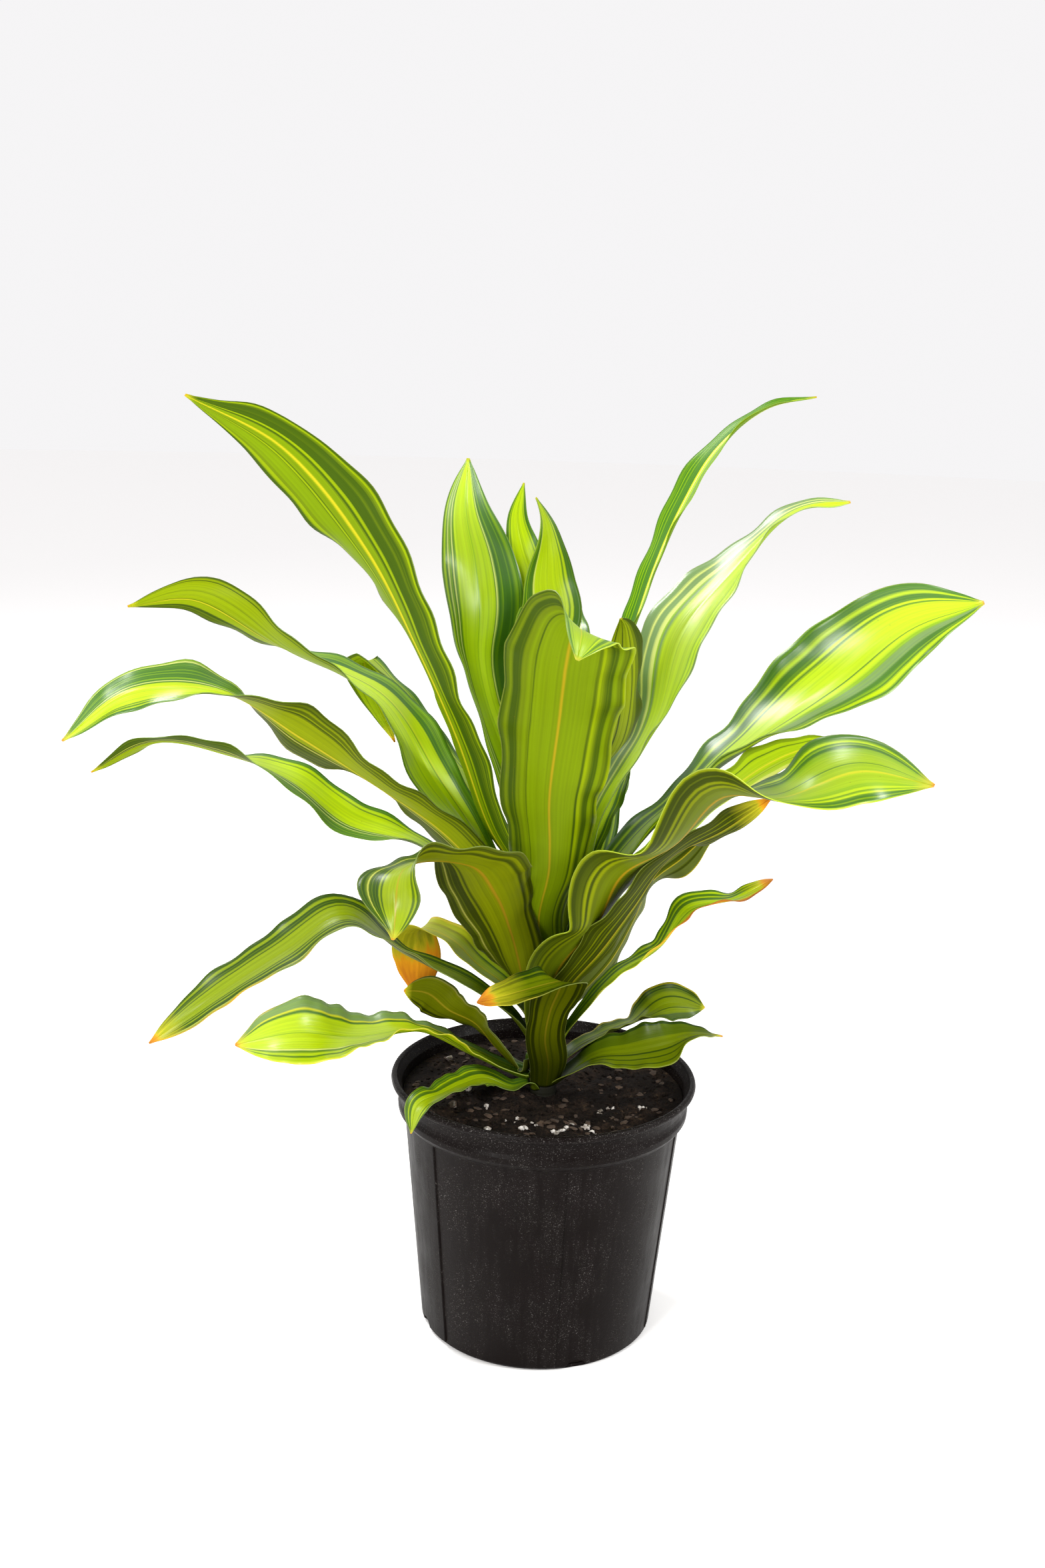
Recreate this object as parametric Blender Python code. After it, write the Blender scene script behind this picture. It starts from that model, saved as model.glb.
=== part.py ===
"""Potted dracaena: a black nursery pot with ridged rim, soil, a short stem and its arching striped leaves."""
import math

import bmesh
import bpy
import numpy as np
from mathutils import Vector

MM = 0.001

# Pot, a number 3 nursery container: 279 mm across its rolled lip and 241 mm high
POT_SIDES = 48
POT_HEIGHT = 241.0
LIP_RADIUS = 139.7
WALL = 1.8
WALL_TOP_RADIUS = 126.5
WALL_TOP_Z = 203.0
BASE_RADIUS = 107.5
SEAM_ANGLES = (221.0, 341.0, 101.0)
SEAM_WIDTH = 1.4
SEAM_PROUD = 0.9
DRAIN_ANGLES = (20.0, 110.0, 200.0, 290.0)
DRAIN_WIDTH = 20.0
DRAIN_HEIGHT = 9.0

# Soil, filled to 18 mm below the lip, with a plain hole for the stem
GAP = 0.3
SOIL_Z = 223.0
SOIL_SIDES = 48
SOIL_RINGS = (22.0, 45.0, 68.0, 90.0, 110.0)
SOIL_RELIEF = 1.6

# Stem, a single cane that tapers to the growing tip
STEM_RADIUS = 12.4
STEM_TOP_RADIUS = 7.0
STEM_FOOT_Z = 165.0
STEM_TOP_Z = 440.0
STEM_SIDES = 20
STEM_ROUND = 4.0

# Leaf blades
BLADE_THICKNESS = 0.8
SEAT_EXTRA = 0.05
BLADE_SEGMENTS = 13
BLADE_STRIPS = 4
BLADE_STEPS = 64
BLADE_BASE_WIDTH = 0.30
BLADE_WIDEST = 0.58
BLADE_BLUNTNESS = 2.0
BLADE_CUP = 0.25
BLADE_SMOOTHING = 6
FOLD_LENGTH = 28.0

# Blades with fuller ends: where along it each is widest, and how blunt it ends
FULL_ENDS = {
    "leaf_front_folded": (0.60, 4.0),
    "leaf_left_low": (0.58, 3.2),
    "leaf_right_blunt": (0.58, 3.2),
    "leaf_left_short": (0.58, 4.0),
    "leaf_right_rolled": (0.58, 3.0),
    "leaf_left_drooping": (0.58, 2.6),
    "leaf_right_twisted": (0.58, 2.5),
    "leaf_left_dry_end": (0.58, 4.0),
    "leaf_front_wide": (0.70, 2.4),
    "leaf_right_broad": (0.58, 2.6),
    "leaf_front_tall": (0.78, 2.0),
    "leaf_front_right": (0.66, 3.0),
}

# Leaves, lowest first: azimuth on the cane in degrees, height of the seat and width in mm, age, then the
# rib's stations as x, y, z in mm from the foot of the pot and the blade's turn about the rib in degrees
LEAVES = (
    ("leaf_front_small", 224, 227, 33, "older", (
        (-14, -12, 235, -20), (-28, -15, 232, -30), (-51, -20, 242, -36), (-70, -50, 250, -6),
        (-90, -75, 250, 12), (-110, -90, 245, -34), (-115, -95, 220, -62))),
    ("leaf_right_low", -9, 232, 48, "older", (
        (46, -8, 261, 14), (80, -15, 270, 30), (110, -20, 280, 44), (135, -20, 290, 2),
        (160, -20, 290, -10))),
    ("leaf_front_folded", 283, 232, 42, "dry", (
        (4, -23, 258, -8), (0, -36, 288, -12), (3, -53, 320, -10), (11, -72, 350, -26),
        (11, -90, 363, -20), (-2, -101, 364, -36), (-22, -108, 360, -38), (-44, -114, 355, -42),
        (-60, -118, 352, -72))),
    ("leaf_left_low", 185, 242, 68, "older", (
        (-13, -2, 236, -14), (-65, -10, 260, -6), (-115, -30, 290, 4), (-170, -50, 290, -10),
        (-220, -70, 300, -68), (-271, -75, 289, -106))),
    ("leaf_right_blunt", 22, 244, 43, "older", (
        (28, 10, 260, -8), (55, 25, 270, -14), (85, 35, 280, -20), (115, 45, 295, 44),
        (150, 50, 290, 80))),
    ("leaf_rear_low", 106, 247, 58, "older", (
        (-2, 40, 290, 0), (-5, 80, 335, 4), (-10, 130, 370, 8), (-15, 185, 390, 6), (-20, 240, 370, 0))),
    ("leaf_left_short", 174, 255, 43, "older", (
        (-14, 1, 243, -2), (-21, 4, 241, 30), (-45, 9, 261, 52), (-65, 30, 275, 56), (-90, 35, 285, 74),
        (-110, 35, 300, 116), (-132, 35, 303, 132))),
    ("leaf_right_rolled", 5, 259, 36, "dry", (
        (21, 1, 282, 0), (38, 0, 308, 4), (65, 0, 340, 0), (100, 0, 365, -14), (125, 10, 400, 14),
        (165, 10, 410, -8), (200, 10, 430, 54))),
    ("leaf_left_drooping", 187, 268, 50, "older", (
        (-31, -4, 296, -4), (-65, -10, 325, -10), (-130, -20, 360, 12), (-180, -40, 400, -14),
        (-230, -55, 370, -12), (-290, -65, 330, -16), (-345, -80, 290, -74))),
    ("leaf_right_striped", -31, 268, 60, "older", (
        (12, -20, 303, -28), (16, -31, 331, -18), (45, -45, 375, -22), (70, -60, 420, -8),
        (100, -70, 470, 12), (145, -65, 495, -28), (185, -50, 520, -80))),
    ("leaf_right_inner", 26, 275, 51, "older", (
        (18, 14, 293, -22), (33, 31, 308, -56), (60, 50, 335, -60), (80, 65, 370, -48), (95, 70, 405, -48),
        (125, 75, 430, -102), (155, 80, 460, -130))),
    ("leaf_right_twisted", -63, 283, 95, "young", (
        (3, -30, 324, 22), (10, -48, 360, -16), (40, -60, 405, 34), (60, -90, 460, -2),
        (100, -115, 495, 32), (135, -130, 540, 4), (180, -145, 545, 30), (240, -150, 570, 102),
        (300, -150, 560, 150))),
    ("leaf_left_dry_end", 161, 283, 49, "dry", (
        (-22, 11, 300, 2), (-38, 14, 319, 0), (-65, 25, 335, -2), (-90, 35, 355, 6), (-120, 45, 360, 6),
        (-120, 50, 325, 60), (-120, 50, 290, 78))),
    ("leaf_rear_right", 61, 283, 64, "young", (
        (14, 49, 340, 0), (30, 75, 400, -6), (45, 110, 460, -12), (55, 160, 500, -16), (65, 210, 510, -10),
        (70, 260, 490, 2))),
    ("leaf_front_wide", 230, 292, 82, "older", (
        (-13, -11, 313, -2), (-21, -29, 336, -4), (-35, -65, 395, 68), (-50, -110, 445, 50),
        (-70, -145, 480, 10), (-120, -180, 485, 24), (-125, -205, 435, -92))),
    ("leaf_right_torn", 7, 293, 68, "dry", (
        (15, 7, 313, -18), (33, 4, 353, -36), (65, 10, 415, -34), (115, 20, 460, -28), (155, 30, 500, -38),
        (205, 35, 535, -58), (260, 35, 555, -80))),
    ("leaf_left_narrow", 171, 306, 47, "older", (
        (-45, 9, 383, 12), (-115, 25, 445, 6), (-185, 35, 465, -36), (-235, 40, 500, -18),
        (-295, 45, 520, 24), (-360, 45, 530, 28), (-420, 45, 500, 68))),
    ("leaf_rear_left", 119, 317, 66, "young", (
        (-11, 47, 372, 2), (-25, 80, 440, 20), (-35, 120, 515, 28), (-50, 150, 585, 28),
        (-55, 195, 610, 12), (-60, 235, 605, -24))),
    ("leaf_left_middle", 166, 324, 59, "young", (
        (-39, -1, 397, 52), (-90, -30, 470, 76), (-155, -45, 520, 38), (-215, -55, 560, 90),
        (-280, -65, 600, 16), (-355, -75, 600, -32), (-415, -70, 555, -72))),
    ("leaf_right_broad", 18, 327, 106, "young", (
        (34, 19, 388, -14), (70, 25, 445, -10), (125, 45, 500, -22), (185, 60, 550, -8),
        (250, 75, 600, 28), (315, 80, 655, 68), (385, 85, 675, 50))),
    ("leaf_front_tall", 280, 340, 99, "young", (
        (-10, -42, 399, 6), (-3, -80, 460, -6), (-5, -115, 535, -16), (0, -135, 600, -12),
        (3, -166, 650, -20), (7, -184, 676, -26), (12, -206, 686, -30), (13, -224, 683, -34),
        (10, -237, 667, -36))),
    ("leaf_left_upper", 165, 343, 64, "young", (
        (-27, 3, 395, 20), (-55, 0, 445, 16), (-105, 10, 510, -30), (-155, 30, 580, 0),
        (-240, 35, 620, 24), (-320, 35, 665, 108), (-380, 30, 655, 72))),
    ("leaf_front_right", 291, 343, 62, "young", (
        (13, -29, 448, 30), (35, -70, 540, 38), (50, -85, 570, 28), (55, -100, 600, 38),
        (55, -110, 635, 30), (50, -120, 675, 10), (46, -126, 682, -2))),
    ("leaf_rear_side", 48, 351, 58, "young", (
        (19, 28, 410, 0), (40, 50, 465, -6), (60, 80, 510, -14), (80, 120, 550, -18),
        (100, 160, 565, -10))),
    ("leaf_left_curled", 146, 358, 50, "young", (
        (-36, 23, 437, 8), (-85, 70, 500, 16), (-120, 95, 535, 16), (-145, 100, 570, 24),
        (-180, 110, 600, 18), (-170, 115, 565, 38), (-150, 120, 520, 72))),
    ("leaf_right_tall", 38, 363, 77, "young", (
        (27, 21, 427, -10), (46, 26, 488, -28), (90, 45, 565, -24), (110, 65, 640, 8), (155, 85, 695, -14),
        (210, 95, 750, -34), (260, 100, 760, 24))),
    ("leaf_left_tall", 205, 373, 77, "young", (
        (-27, -13, 431, 2), (-55, -15, 475, 6), (-85, -35, 560, 2), (-120, -65, 645, -4),
        (-160, -90, 725, 24), (-225, -110, 805, 76), (-295, -135, 845, 42))),
    ("leaf_rear_tall", 84, 373, 62, "young", (
        (2, 28, 440, -4), (3, 53, 505, -2), (5, 80, 570, -4), (5, 115, 625, -4), (5, 150, 650, 6),
        (5, 190, 660, 6))),
    ("leaf_right_slender", -7, 389, 50, "young", (
        (30, -7, 535, 4), (65, -20, 665, 12), (80, -20, 715, 16), (100, -20, 765, 20), (125, -20, 810, 24),
        (165, -20, 845, 2), (205, -20, 855, 30))),
    ("leaf_centre_glossy", 114, 403, 83, "young", (
        (-26, 29, 494, 14), (-60, 40, 575, 38), (-70, 50, 615, 34), (-70, 55, 660, 8), (-75, 65, 700, -10),
        (-85, 65, 745, -18), (-85, 75, 790, -20))),
    ("leaf_centre_rear", 68, 415, 46, "young", (
        (2, 35, 528, -22), (-15, 60, 630, -36), (-20, 65, 660, -28), (-25, 70, 685, -10),
        (-35, 75, 715, 24), (-40, 75, 740, 38), (-35, 75, 770, 18))),
    ("leaf_centre_young", 31, 433, 57, "young", (
        (7, -2, 547, 26), (-11, -7, 650, 48), (-7, -7, 670, 56), (-11, -5, 693, 68), (-12, -3, 718, 90),
        (-15, -2, 742, 118), (-24, 0, 764, 124))),
)


def clear_scene():
    """Remove every object the file opens with."""
    for item in list(bpy.data.objects):
        bpy.data.objects.remove(item, do_unlink=True)


def material(name, colour, roughness, specular=0.5):
    """Principled material from an sRGB colour in hex."""
    values = [int(colour[i:i + 2], 16) / 255.0 for i in (0, 2, 4)]
    linear = [v / 12.92 if v <= 0.04045 else ((v + 0.055) / 1.055) ** 2.4 for v in values]
    mat = bpy.data.materials.new(name)
    mat.use_nodes = True
    shader = mat.node_tree.nodes["Principled BSDF"]
    shader.inputs["Base Color"].default_value = (*linear, 1.0)
    shader.inputs["Roughness"].default_value = roughness
    shader.inputs["Metallic"].default_value = 0.0
    shader.inputs["Specular IOR Level"].default_value = specular
    mat.diffuse_color = (*linear, 1.0)
    return mat


def new_object(name, bm, mat, smooth_angle=None):
    """Turn a bmesh into a named object with its material."""
    mesh = bpy.data.meshes.new(name)
    bm.to_mesh(mesh)
    bm.free()
    mesh.materials.append(mat)
    if smooth_angle is not None:
        mesh.shade_smooth()
        mesh.set_sharp_from_angle(angle=math.radians(smooth_angle))
    obj = bpy.data.objects.new(name, mesh)
    bpy.context.collection.objects.link(obj)
    return obj


def turned(profile, sides):
    """Spin a closed profile of (radius, z) in millimetres round the Z axis."""
    bm = bmesh.new()
    points = [bm.verts.new((r * MM, 0.0, z * MM)) for r, z in profile]
    edges = [bm.edges.new((a, b)) for a, b in zip(points, points[1:])]
    bmesh.ops.spin(bm, geom=points + edges, cent=(0, 0, 0), axis=(0, 0, 1),
                   angle=math.tau, steps=sides, use_merge=True)
    bmesh.ops.remove_doubles(bm, verts=bm.verts, dist=1e-6)
    bm.normal_update()
    bmesh.ops.recalc_face_normals(bm, faces=bm.faces)
    return bm


def boolean(target, other, operation):
    """Boolean by the exact solver; the other object stays as a hidden cutter."""
    mod = target.modifiers.new(other.name, 'BOOLEAN')
    mod.operation = operation
    mod.object = other
    mod.solver = 'EXACT'
    other.hide_render = True
    other.display_type = 'WIRE'


def wall_radius(z):
    """Outer radius of the tapered wall at height z."""
    return BASE_RADIUS + (WALL_TOP_RADIUS - BASE_RADIUS) * (z - 3.0) / (WALL_TOP_Z - 3.0)


def pot_profile():
    """Section of the pot: flat base, tapered wall, step, lower bead, band and rolled lip."""
    top, outer = POT_HEIGHT, LIP_RADIUS
    outside = [
        (0.0, 0.0), (BASE_RADIUS - 3.0, 0.0), (BASE_RADIUS, 3.0),
        (WALL_TOP_RADIUS, WALL_TOP_Z), (WALL_TOP_RADIUS + 3.4, WALL_TOP_Z + 3.0),
        (WALL_TOP_RADIUS + 6.2, WALL_TOP_Z + 7.0), (WALL_TOP_RADIUS + 6.6, WALL_TOP_Z + 12.0),
        (WALL_TOP_RADIUS + 5.0, WALL_TOP_Z + 15.5), (WALL_TOP_RADIUS + 4.3, WALL_TOP_Z + 19.0),
        (WALL_TOP_RADIUS + 5.2, top - 9.0), (outer - 3.4, top - 8.0), (outer - 0.6, top - 6.0),
        (outer, top - 3.6), (outer - 1.1, top - 0.9), (outer - 3.1, top),
    ]
    inside = [
        (outer - 5.2, top - 0.8), (outer - 6.0, top - 2.8), (WALL_TOP_RADIUS + 3.2, top - 9.6),
        (WALL_TOP_RADIUS + 2.4, WALL_TOP_Z + 19.0), (WALL_TOP_RADIUS + 4.4, WALL_TOP_Z + 12.0),
        (WALL_TOP_RADIUS - WALL, WALL_TOP_Z + 1.0), (BASE_RADIUS - WALL, 5.0),
        (BASE_RADIUS - WALL - 2.5, 2.4), (0.0, 2.4),
    ]
    return outside + inside


def polar_box(angle, radius_in, radius_out, width, z_low, z_high, taper=0.0):
    """Box that stands across a radius, its outer face moved in by taper at the foot."""
    bm = bmesh.new()
    bmesh.ops.create_cube(bm, size=1.0)
    c, s = math.cos(math.radians(angle)), math.sin(math.radians(angle))
    for v in bm.verts:
        high = v.co.z > 0
        radius = radius_out if v.co.x > 0 else radius_in
        radius -= 0.0 if high else taper
        across = width * v.co.y
        z = z_high if high else z_low
        v.co = Vector((radius * c - across * s, radius * s + across * c, z)) * MM
    return bm


def build_pot(mat):
    """Pot shell with three moulding seams and four arched drain slots."""
    pot = new_object("pot", turned(pot_profile(), POT_SIDES), mat, 35)
    low, high = 4.0, WALL_TOP_Z - 1.0
    taper = wall_radius(high) - wall_radius(low)
    for i, angle in enumerate(SEAM_ANGLES):
        radius = wall_radius(high)
        rib = polar_box(angle, radius - 1.2, radius + SEAM_PROUD, SEAM_WIDTH, low, high, taper)
        boolean(pot, new_object(f"seam_rib_{i + 1}", rib, mat), 'UNION')
    for i, angle in enumerate(DRAIN_ANGLES):
        bm = bmesh.new()
        bmesh.ops.create_cone(bm, cap_ends=True, segments=16, radius1=DRAIN_WIDTH / 2 * MM,
                              radius2=DRAIN_WIDTH / 2 * MM, depth=9.0 * MM)
        a = math.radians(angle)
        for v in bm.verts:
            along = (BASE_RADIUS + 1.0) * MM + v.co.z
            across, rise = v.co.x, v.co.y * 2.0 * DRAIN_HEIGHT / DRAIN_WIDTH
            v.co = Vector((along * math.cos(a) - across * math.sin(a),
                           along * math.sin(a) + across * math.cos(a), rise))
        bm.normal_update()
        bmesh.ops.recalc_face_normals(bm, faces=bm.faces)
        boolean(pot, new_object(f"drain_cutter_{i + 1}", bm, mat), 'DIFFERENCE')
    return pot


def soil_height(x, y):
    """Lumpy surface of the potting mix, a little higher round the stem."""
    r = math.hypot(x, y)
    lumps = math.sin(x * 0.115 + 1.3) * math.cos(y * 0.098 - 0.6) + 0.6 * math.sin(x * 0.21 - y * 0.17)
    fade = min(1.0, max(0.0, (r - 16.0) / 20.0)) * min(1.0, max(0.0, (124.0 - r) / 10.0))
    return SOIL_Z + SOIL_RELIEF * lumps * fade + 1.5 * math.exp(-(r / 45.0) ** 2) * fade


def build_soil(mat):
    """Potting mix that fills the pot, with a blind round hole for the stem."""
    hole = STEM_RADIUS + GAP
    edge = WALL_TOP_RADIUS + 2.4 - 2 * GAP
    profile = [(0.0, STEM_FOOT_Z - GAP), (hole, STEM_FOOT_Z - GAP), (hole, SOIL_Z)]
    profile += [(r, SOIL_Z) for r in SOIL_RINGS]
    profile += [
        (edge, SOIL_Z), (edge, WALL_TOP_Z + 18.0), (WALL_TOP_RADIUS - WALL - 2 * GAP, WALL_TOP_Z),
        (BASE_RADIUS - WALL - 2 * GAP, 6.0), (BASE_RADIUS - WALL - 3.0, 2.4 + GAP), (0.0, 2.4 + GAP),
    ]
    bm = turned(profile, SOIL_SIDES)
    for v in bm.verts:
        x, y, z = v.co / MM
        if abs(z - SOIL_Z) < 0.01 and hole + 1.0 < math.hypot(x, y) < edge - 1.0:
            v.co.z = soil_height(x, y) * MM
    return new_object("soil", bm, mat)


def stem_radius(z):
    """Radius of the cane at height z above the soil's surface."""
    return STEM_RADIUS + (STEM_TOP_RADIUS - STEM_RADIUS) * (z - SOIL_Z) / (STEM_TOP_Z - SOIL_Z)


def build_stem(mat):
    """Cane sunk in the soil, tapered above it and rounded at the growing tip."""
    shoulder = STEM_TOP_Z - STEM_ROUND
    profile = [
        (0.0, STEM_FOOT_Z), (STEM_RADIUS - 1.0, STEM_FOOT_Z), (STEM_RADIUS, STEM_FOOT_Z + 3.0),
        (STEM_RADIUS, SOIL_Z), (stem_radius(shoulder), shoulder),
        (stem_radius(shoulder) - 1.6, STEM_TOP_Z - 1.2), (0.0, STEM_TOP_Z),
    ]
    return new_object("stem", turned(profile, STEM_SIDES), mat, 50)


def rib_curve(points):
    """Centripetal Catmull-Rom curve through the rib's points, sampled evenly along its length."""
    p = np.array(points, float)
    p = np.vstack([2 * p[0] - p[1], p, 2 * p[-1] - p[-2]])
    pieces = []
    for i in range(1, len(p) - 2):
        a, b, c, d = p[i - 1:i + 3]
        t1 = math.sqrt(max(np.linalg.norm(b - a), 1e-6))
        t2 = t1 + math.sqrt(max(np.linalg.norm(c - b), 1e-6))
        t3 = t2 + math.sqrt(max(np.linalg.norm(d - c), 1e-6))
        t = np.linspace(t1, t2, 24, endpoint=False)[:, None]
        ab = (t1 - t) / t1 * a + t / t1 * b
        bc = (t2 - t) / (t2 - t1) * b + (t - t1) / (t2 - t1) * c
        cd = (t3 - t) / (t3 - t2) * c + (t - t2) / (t3 - t2) * d
        abc = (t2 - t) / t2 * ab + t / t2 * bc
        bcd = (t3 - t) / (t3 - t1) * bc + (t - t1) / (t3 - t1) * cd
        pieces.append((t2 - t) / (t2 - t1) * abc + (t - t1) / (t2 - t1) * bcd)
    pieces.append(p[-2][None])
    curve = np.vstack(pieces)
    run = np.concatenate([[0.0], np.cumsum(np.linalg.norm(np.diff(curve, axis=0), axis=1))])
    even = np.linspace(0.0, run[-1], BLADE_STEPS + 1)
    return np.stack([np.interp(even, run, curve[:, k]) for k in range(3)], 1), run[-1]


def carried_frame(path, across):
    """Unit tangents, and the across direction carried along the path without turning."""
    tangent = np.gradient(path, axis=0)
    tangent /= np.linalg.norm(tangent, axis=1)[:, None]
    carried = np.zeros_like(path)
    a = across - tangent[0] * np.dot(across, tangent[0])
    carried[0] = a / np.linalg.norm(a)
    for i in range(1, len(path)):
        axis = np.cross(tangent[i - 1], tangent[i])
        a = carried[i - 1]
        turn = np.cross(axis, a)
        a = a + turn + np.cross(axis, turn) / (1.0 + np.dot(tangent[i - 1], tangent[i]))
        a = a - tangent[i] * np.dot(a, tangent[i])
        carried[i] = a / np.linalg.norm(a)
    return tangent, carried


def half_width(s, width, widest, bluntness):
    """Narrow at the sheath, widest past the middle, drawn to a sharp or a blunt end."""
    rise = BLADE_BASE_WIDTH + (1 - BLADE_BASE_WIDTH) * np.sin(np.clip(s / widest, 0, 1) * np.pi / 2) ** 1.5
    q = np.clip((s - widest) / (1 - widest), 0, 1)
    return width / 2 * np.maximum(rise * (1 - q ** bluntness) ** 0.9, 0.03)


def blade_points(azimuth, height, width, end, stations):
    """Grid of points over the blade's middle surface, from the sheath on the cane to the tip."""
    a = math.radians(azimuth)
    seat = stem_radius(height) + GAP + BLADE_THICKNESS / 2 + SEAT_EXTRA
    rib = np.array([(seat * math.cos(a), seat * math.sin(a), height)] + [s[:3] for s in stations])
    turns = [0.0] + [s[3] for s in stations]
    path, length = rib_curve(rib)
    tangent, carried = carried_frame(path, np.array([math.sin(a), -math.cos(a), 0.0]))
    s = np.linspace(0.0, 1.0, BLADE_STEPS + 1)
    at = np.array([np.argmin(np.linalg.norm(path - p, axis=1)) for p in rib]) / BLADE_STEPS
    turn = np.radians(np.interp(s, at + np.arange(len(at)) * 1e-6, turns))
    for _ in range(BLADE_SMOOTHING):
        turn[1:-1] = turn[1:-1] / 2 + (turn[:-2] + turn[2:]) / 4
    across = carried * np.cos(turn)[:, None] + np.cross(tangent, carried) * np.sin(turn)[:, None]
    normal = np.cross(across, tangent)
    bend = np.linalg.norm(np.gradient(tangent, axis=0), axis=1) * BLADE_STEPS / length
    weight = np.concatenate([[0.0], np.cumsum(1 + FOLD_LENGTH * (bend[1:] + bend[:-1]) / 2)])
    q = np.interp(np.linspace(0.0, weight[-1], BLADE_SEGMENTS + 1), weight, s)

    def at_stations(values):
        return np.stack([np.interp(q, s, values[:, k]) for k in range(3)], 1)

    centre, across, normal = at_stations(path), at_stations(across), at_stations(normal)
    across /= np.linalg.norm(across, axis=1)[:, None]
    normal /= np.linalg.norm(normal, axis=1)[:, None]
    half = half_width(q, width, *end)[:, None]
    columns = []
    for j in range(BLADE_STRIPS + 1):
        v = 2.0 * j / BLADE_STRIPS - 1.0
        columns.append(centre + across * half * v + normal * half * BLADE_CUP * v * v)
    return np.stack(columns, 1)


def build_leaf(name, azimuth, height, width, stations, mat):
    """One blade: a grid laid on its surface, split into triangles, thickened alike on both faces."""
    end = FULL_ENDS.get(name, (BLADE_WIDEST, BLADE_BLUNTNESS))
    points = blade_points(azimuth, height, width, end, stations)
    bm = bmesh.new()
    bmesh.ops.create_grid(bm, x_segments=BLADE_STRIPS, y_segments=BLADE_SEGMENTS, size=1.0)
    for v in bm.verts:
        j = round((v.co.x + 1.0) / 2.0 * BLADE_STRIPS)
        i = round((v.co.y + 1.0) / 2.0 * BLADE_SEGMENTS)
        v.co = Vector(points[i, j]) * MM
    bmesh.ops.triangulate(bm, faces=bm.faces, quad_method='FIXED')
    leaf = new_object(name, bm, mat, 80)
    mod = leaf.modifiers.new("Thickness", 'SOLIDIFY')
    mod.thickness = BLADE_THICKNESS * MM
    mod.offset = 0.0
    mod.use_even_offset = False
    return leaf


def main():
    clear_scene()
    build_pot(material("pot_plastic", "1B1B1D", 0.42))
    build_soil(material("potting_mix", "33261B", 0.95, 0.2))
    build_stem(material("stem_bark", "6E6A3C", 0.7))
    blade = {
        "young": material("leaf_young", "8DBB1E", 0.35),
        "older": material("leaf_older", "6C8A2A", 0.4),
        "dry": material("leaf_dry_end", "8A8A34", 0.5),
    }
    for name, azimuth, height, width, age, stations in LEAVES:
        build_leaf(name, azimuth, height, width, stations, blade[age])


if __name__ == "__main__":
    main()
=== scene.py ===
"""Looks of a potted dracaena: moulded black pot, potting mix, cane and fine striped blades."""
import math
import random

import bmesh
import bpy
import numpy as np
from bpy.props import FloatProperty, FloatVectorProperty, IntProperty, PointerProperty
from mathutils import Matrix, Vector, noise


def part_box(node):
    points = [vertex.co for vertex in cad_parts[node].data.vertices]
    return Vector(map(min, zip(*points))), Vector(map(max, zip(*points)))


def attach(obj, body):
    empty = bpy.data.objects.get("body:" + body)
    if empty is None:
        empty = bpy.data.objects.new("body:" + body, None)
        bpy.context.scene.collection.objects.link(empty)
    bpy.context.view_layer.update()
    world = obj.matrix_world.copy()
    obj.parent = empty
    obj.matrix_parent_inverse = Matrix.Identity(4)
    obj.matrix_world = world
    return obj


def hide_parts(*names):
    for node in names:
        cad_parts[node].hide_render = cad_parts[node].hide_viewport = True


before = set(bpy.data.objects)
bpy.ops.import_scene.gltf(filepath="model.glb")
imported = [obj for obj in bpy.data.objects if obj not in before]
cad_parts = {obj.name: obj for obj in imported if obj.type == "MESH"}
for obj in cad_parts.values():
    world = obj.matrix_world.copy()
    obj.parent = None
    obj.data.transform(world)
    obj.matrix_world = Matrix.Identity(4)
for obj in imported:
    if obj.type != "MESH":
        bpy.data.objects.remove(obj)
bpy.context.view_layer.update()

bl_info = {
    "name": "Potted Dracaena",
    "version": (1, 0, 0),
    "blender": (4, 5, 0),
    "location": "3D View > Sidebar > Dracaena",
    "description": "Builds the pot, potting mix, cane and striped leaves of a potted dracaena",
    "category": "Add Mesh",
}

MM = 0.001
POT_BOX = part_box("pot")

# Viewing point of the photograph, solved from the pot's lip and foot; angles in degrees, lens in mm
VIEW_POINT = (-0.0242, -1.541, 0.897)
VIEW_PITCH = 13.99
VIEW_YAW = -0.13
VIEW_ROLL = -1.81
VIEW_LENS = 41.33
VIEW_SENSOR = 36.0

# Pot and soil, in mm and degrees, as the solids have them. The fine seam's width and height are shares of a
# plain seam's. Lumps and loose bits of the mix keep out of a clearing round the cane.
WALL = 1.8
WALL_TOP_RADIUS = 126.5
WALL_TOP_Z = 203.0
BASE_RADIUS = 107.5
SEAM_ANGLES = (221.0, 341.0, 101.0)
FINE_SEAM_ANGLE = 280.0
FINE_SEAM_WIDTH = 0.5
FINE_SEAM_PROUD = 0.4
DRAIN_ANGLES = (20.0, 110.0, 200.0, 290.0)
DRAIN_WIDTH = 20.0
DRAIN_HEIGHT = 9.0
SOIL_Z = 223.0
SOIL_RELIEF = 1.6
CLEARING = 16.0

# Cane, in mm, as the solid has it
STEM_RADIUS = 12.4
STEM_TOP_RADIUS = 7.0
STEM_TOP_Z = 440.0
STEM_FOOT_Z = 165.0
GAP = 0.3

# Leaf blades, in mm, as the solids have them
SEAT = 0.75
BLADE_STEPS = 64
BLADE_BASE_WIDTH = 0.30
BLADE_WIDEST = 0.58
BLADE_BLUNTNESS = 2.0
BLADE_CUP = 0.25
BLADE_SMOOTHING = 6
FOLD_LENGTH = 28.0

# Sheath that clasps the cane: how much it spreads at the cane, as a share, how deep it cups there, and
# where along the blade each of the two has faded out
SHEATH = 0.30
BROAD_SHEATHS = {
    "leaf_front_folded": 1.2,
    "leaf_right_low": 0.6,
    "leaf_left_short": 0.6,
    "leaf_right_inner": 0.6,
}
SHEATH_END = 0.38
CLASP = 0.5
CLASP_END = 0.16

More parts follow.
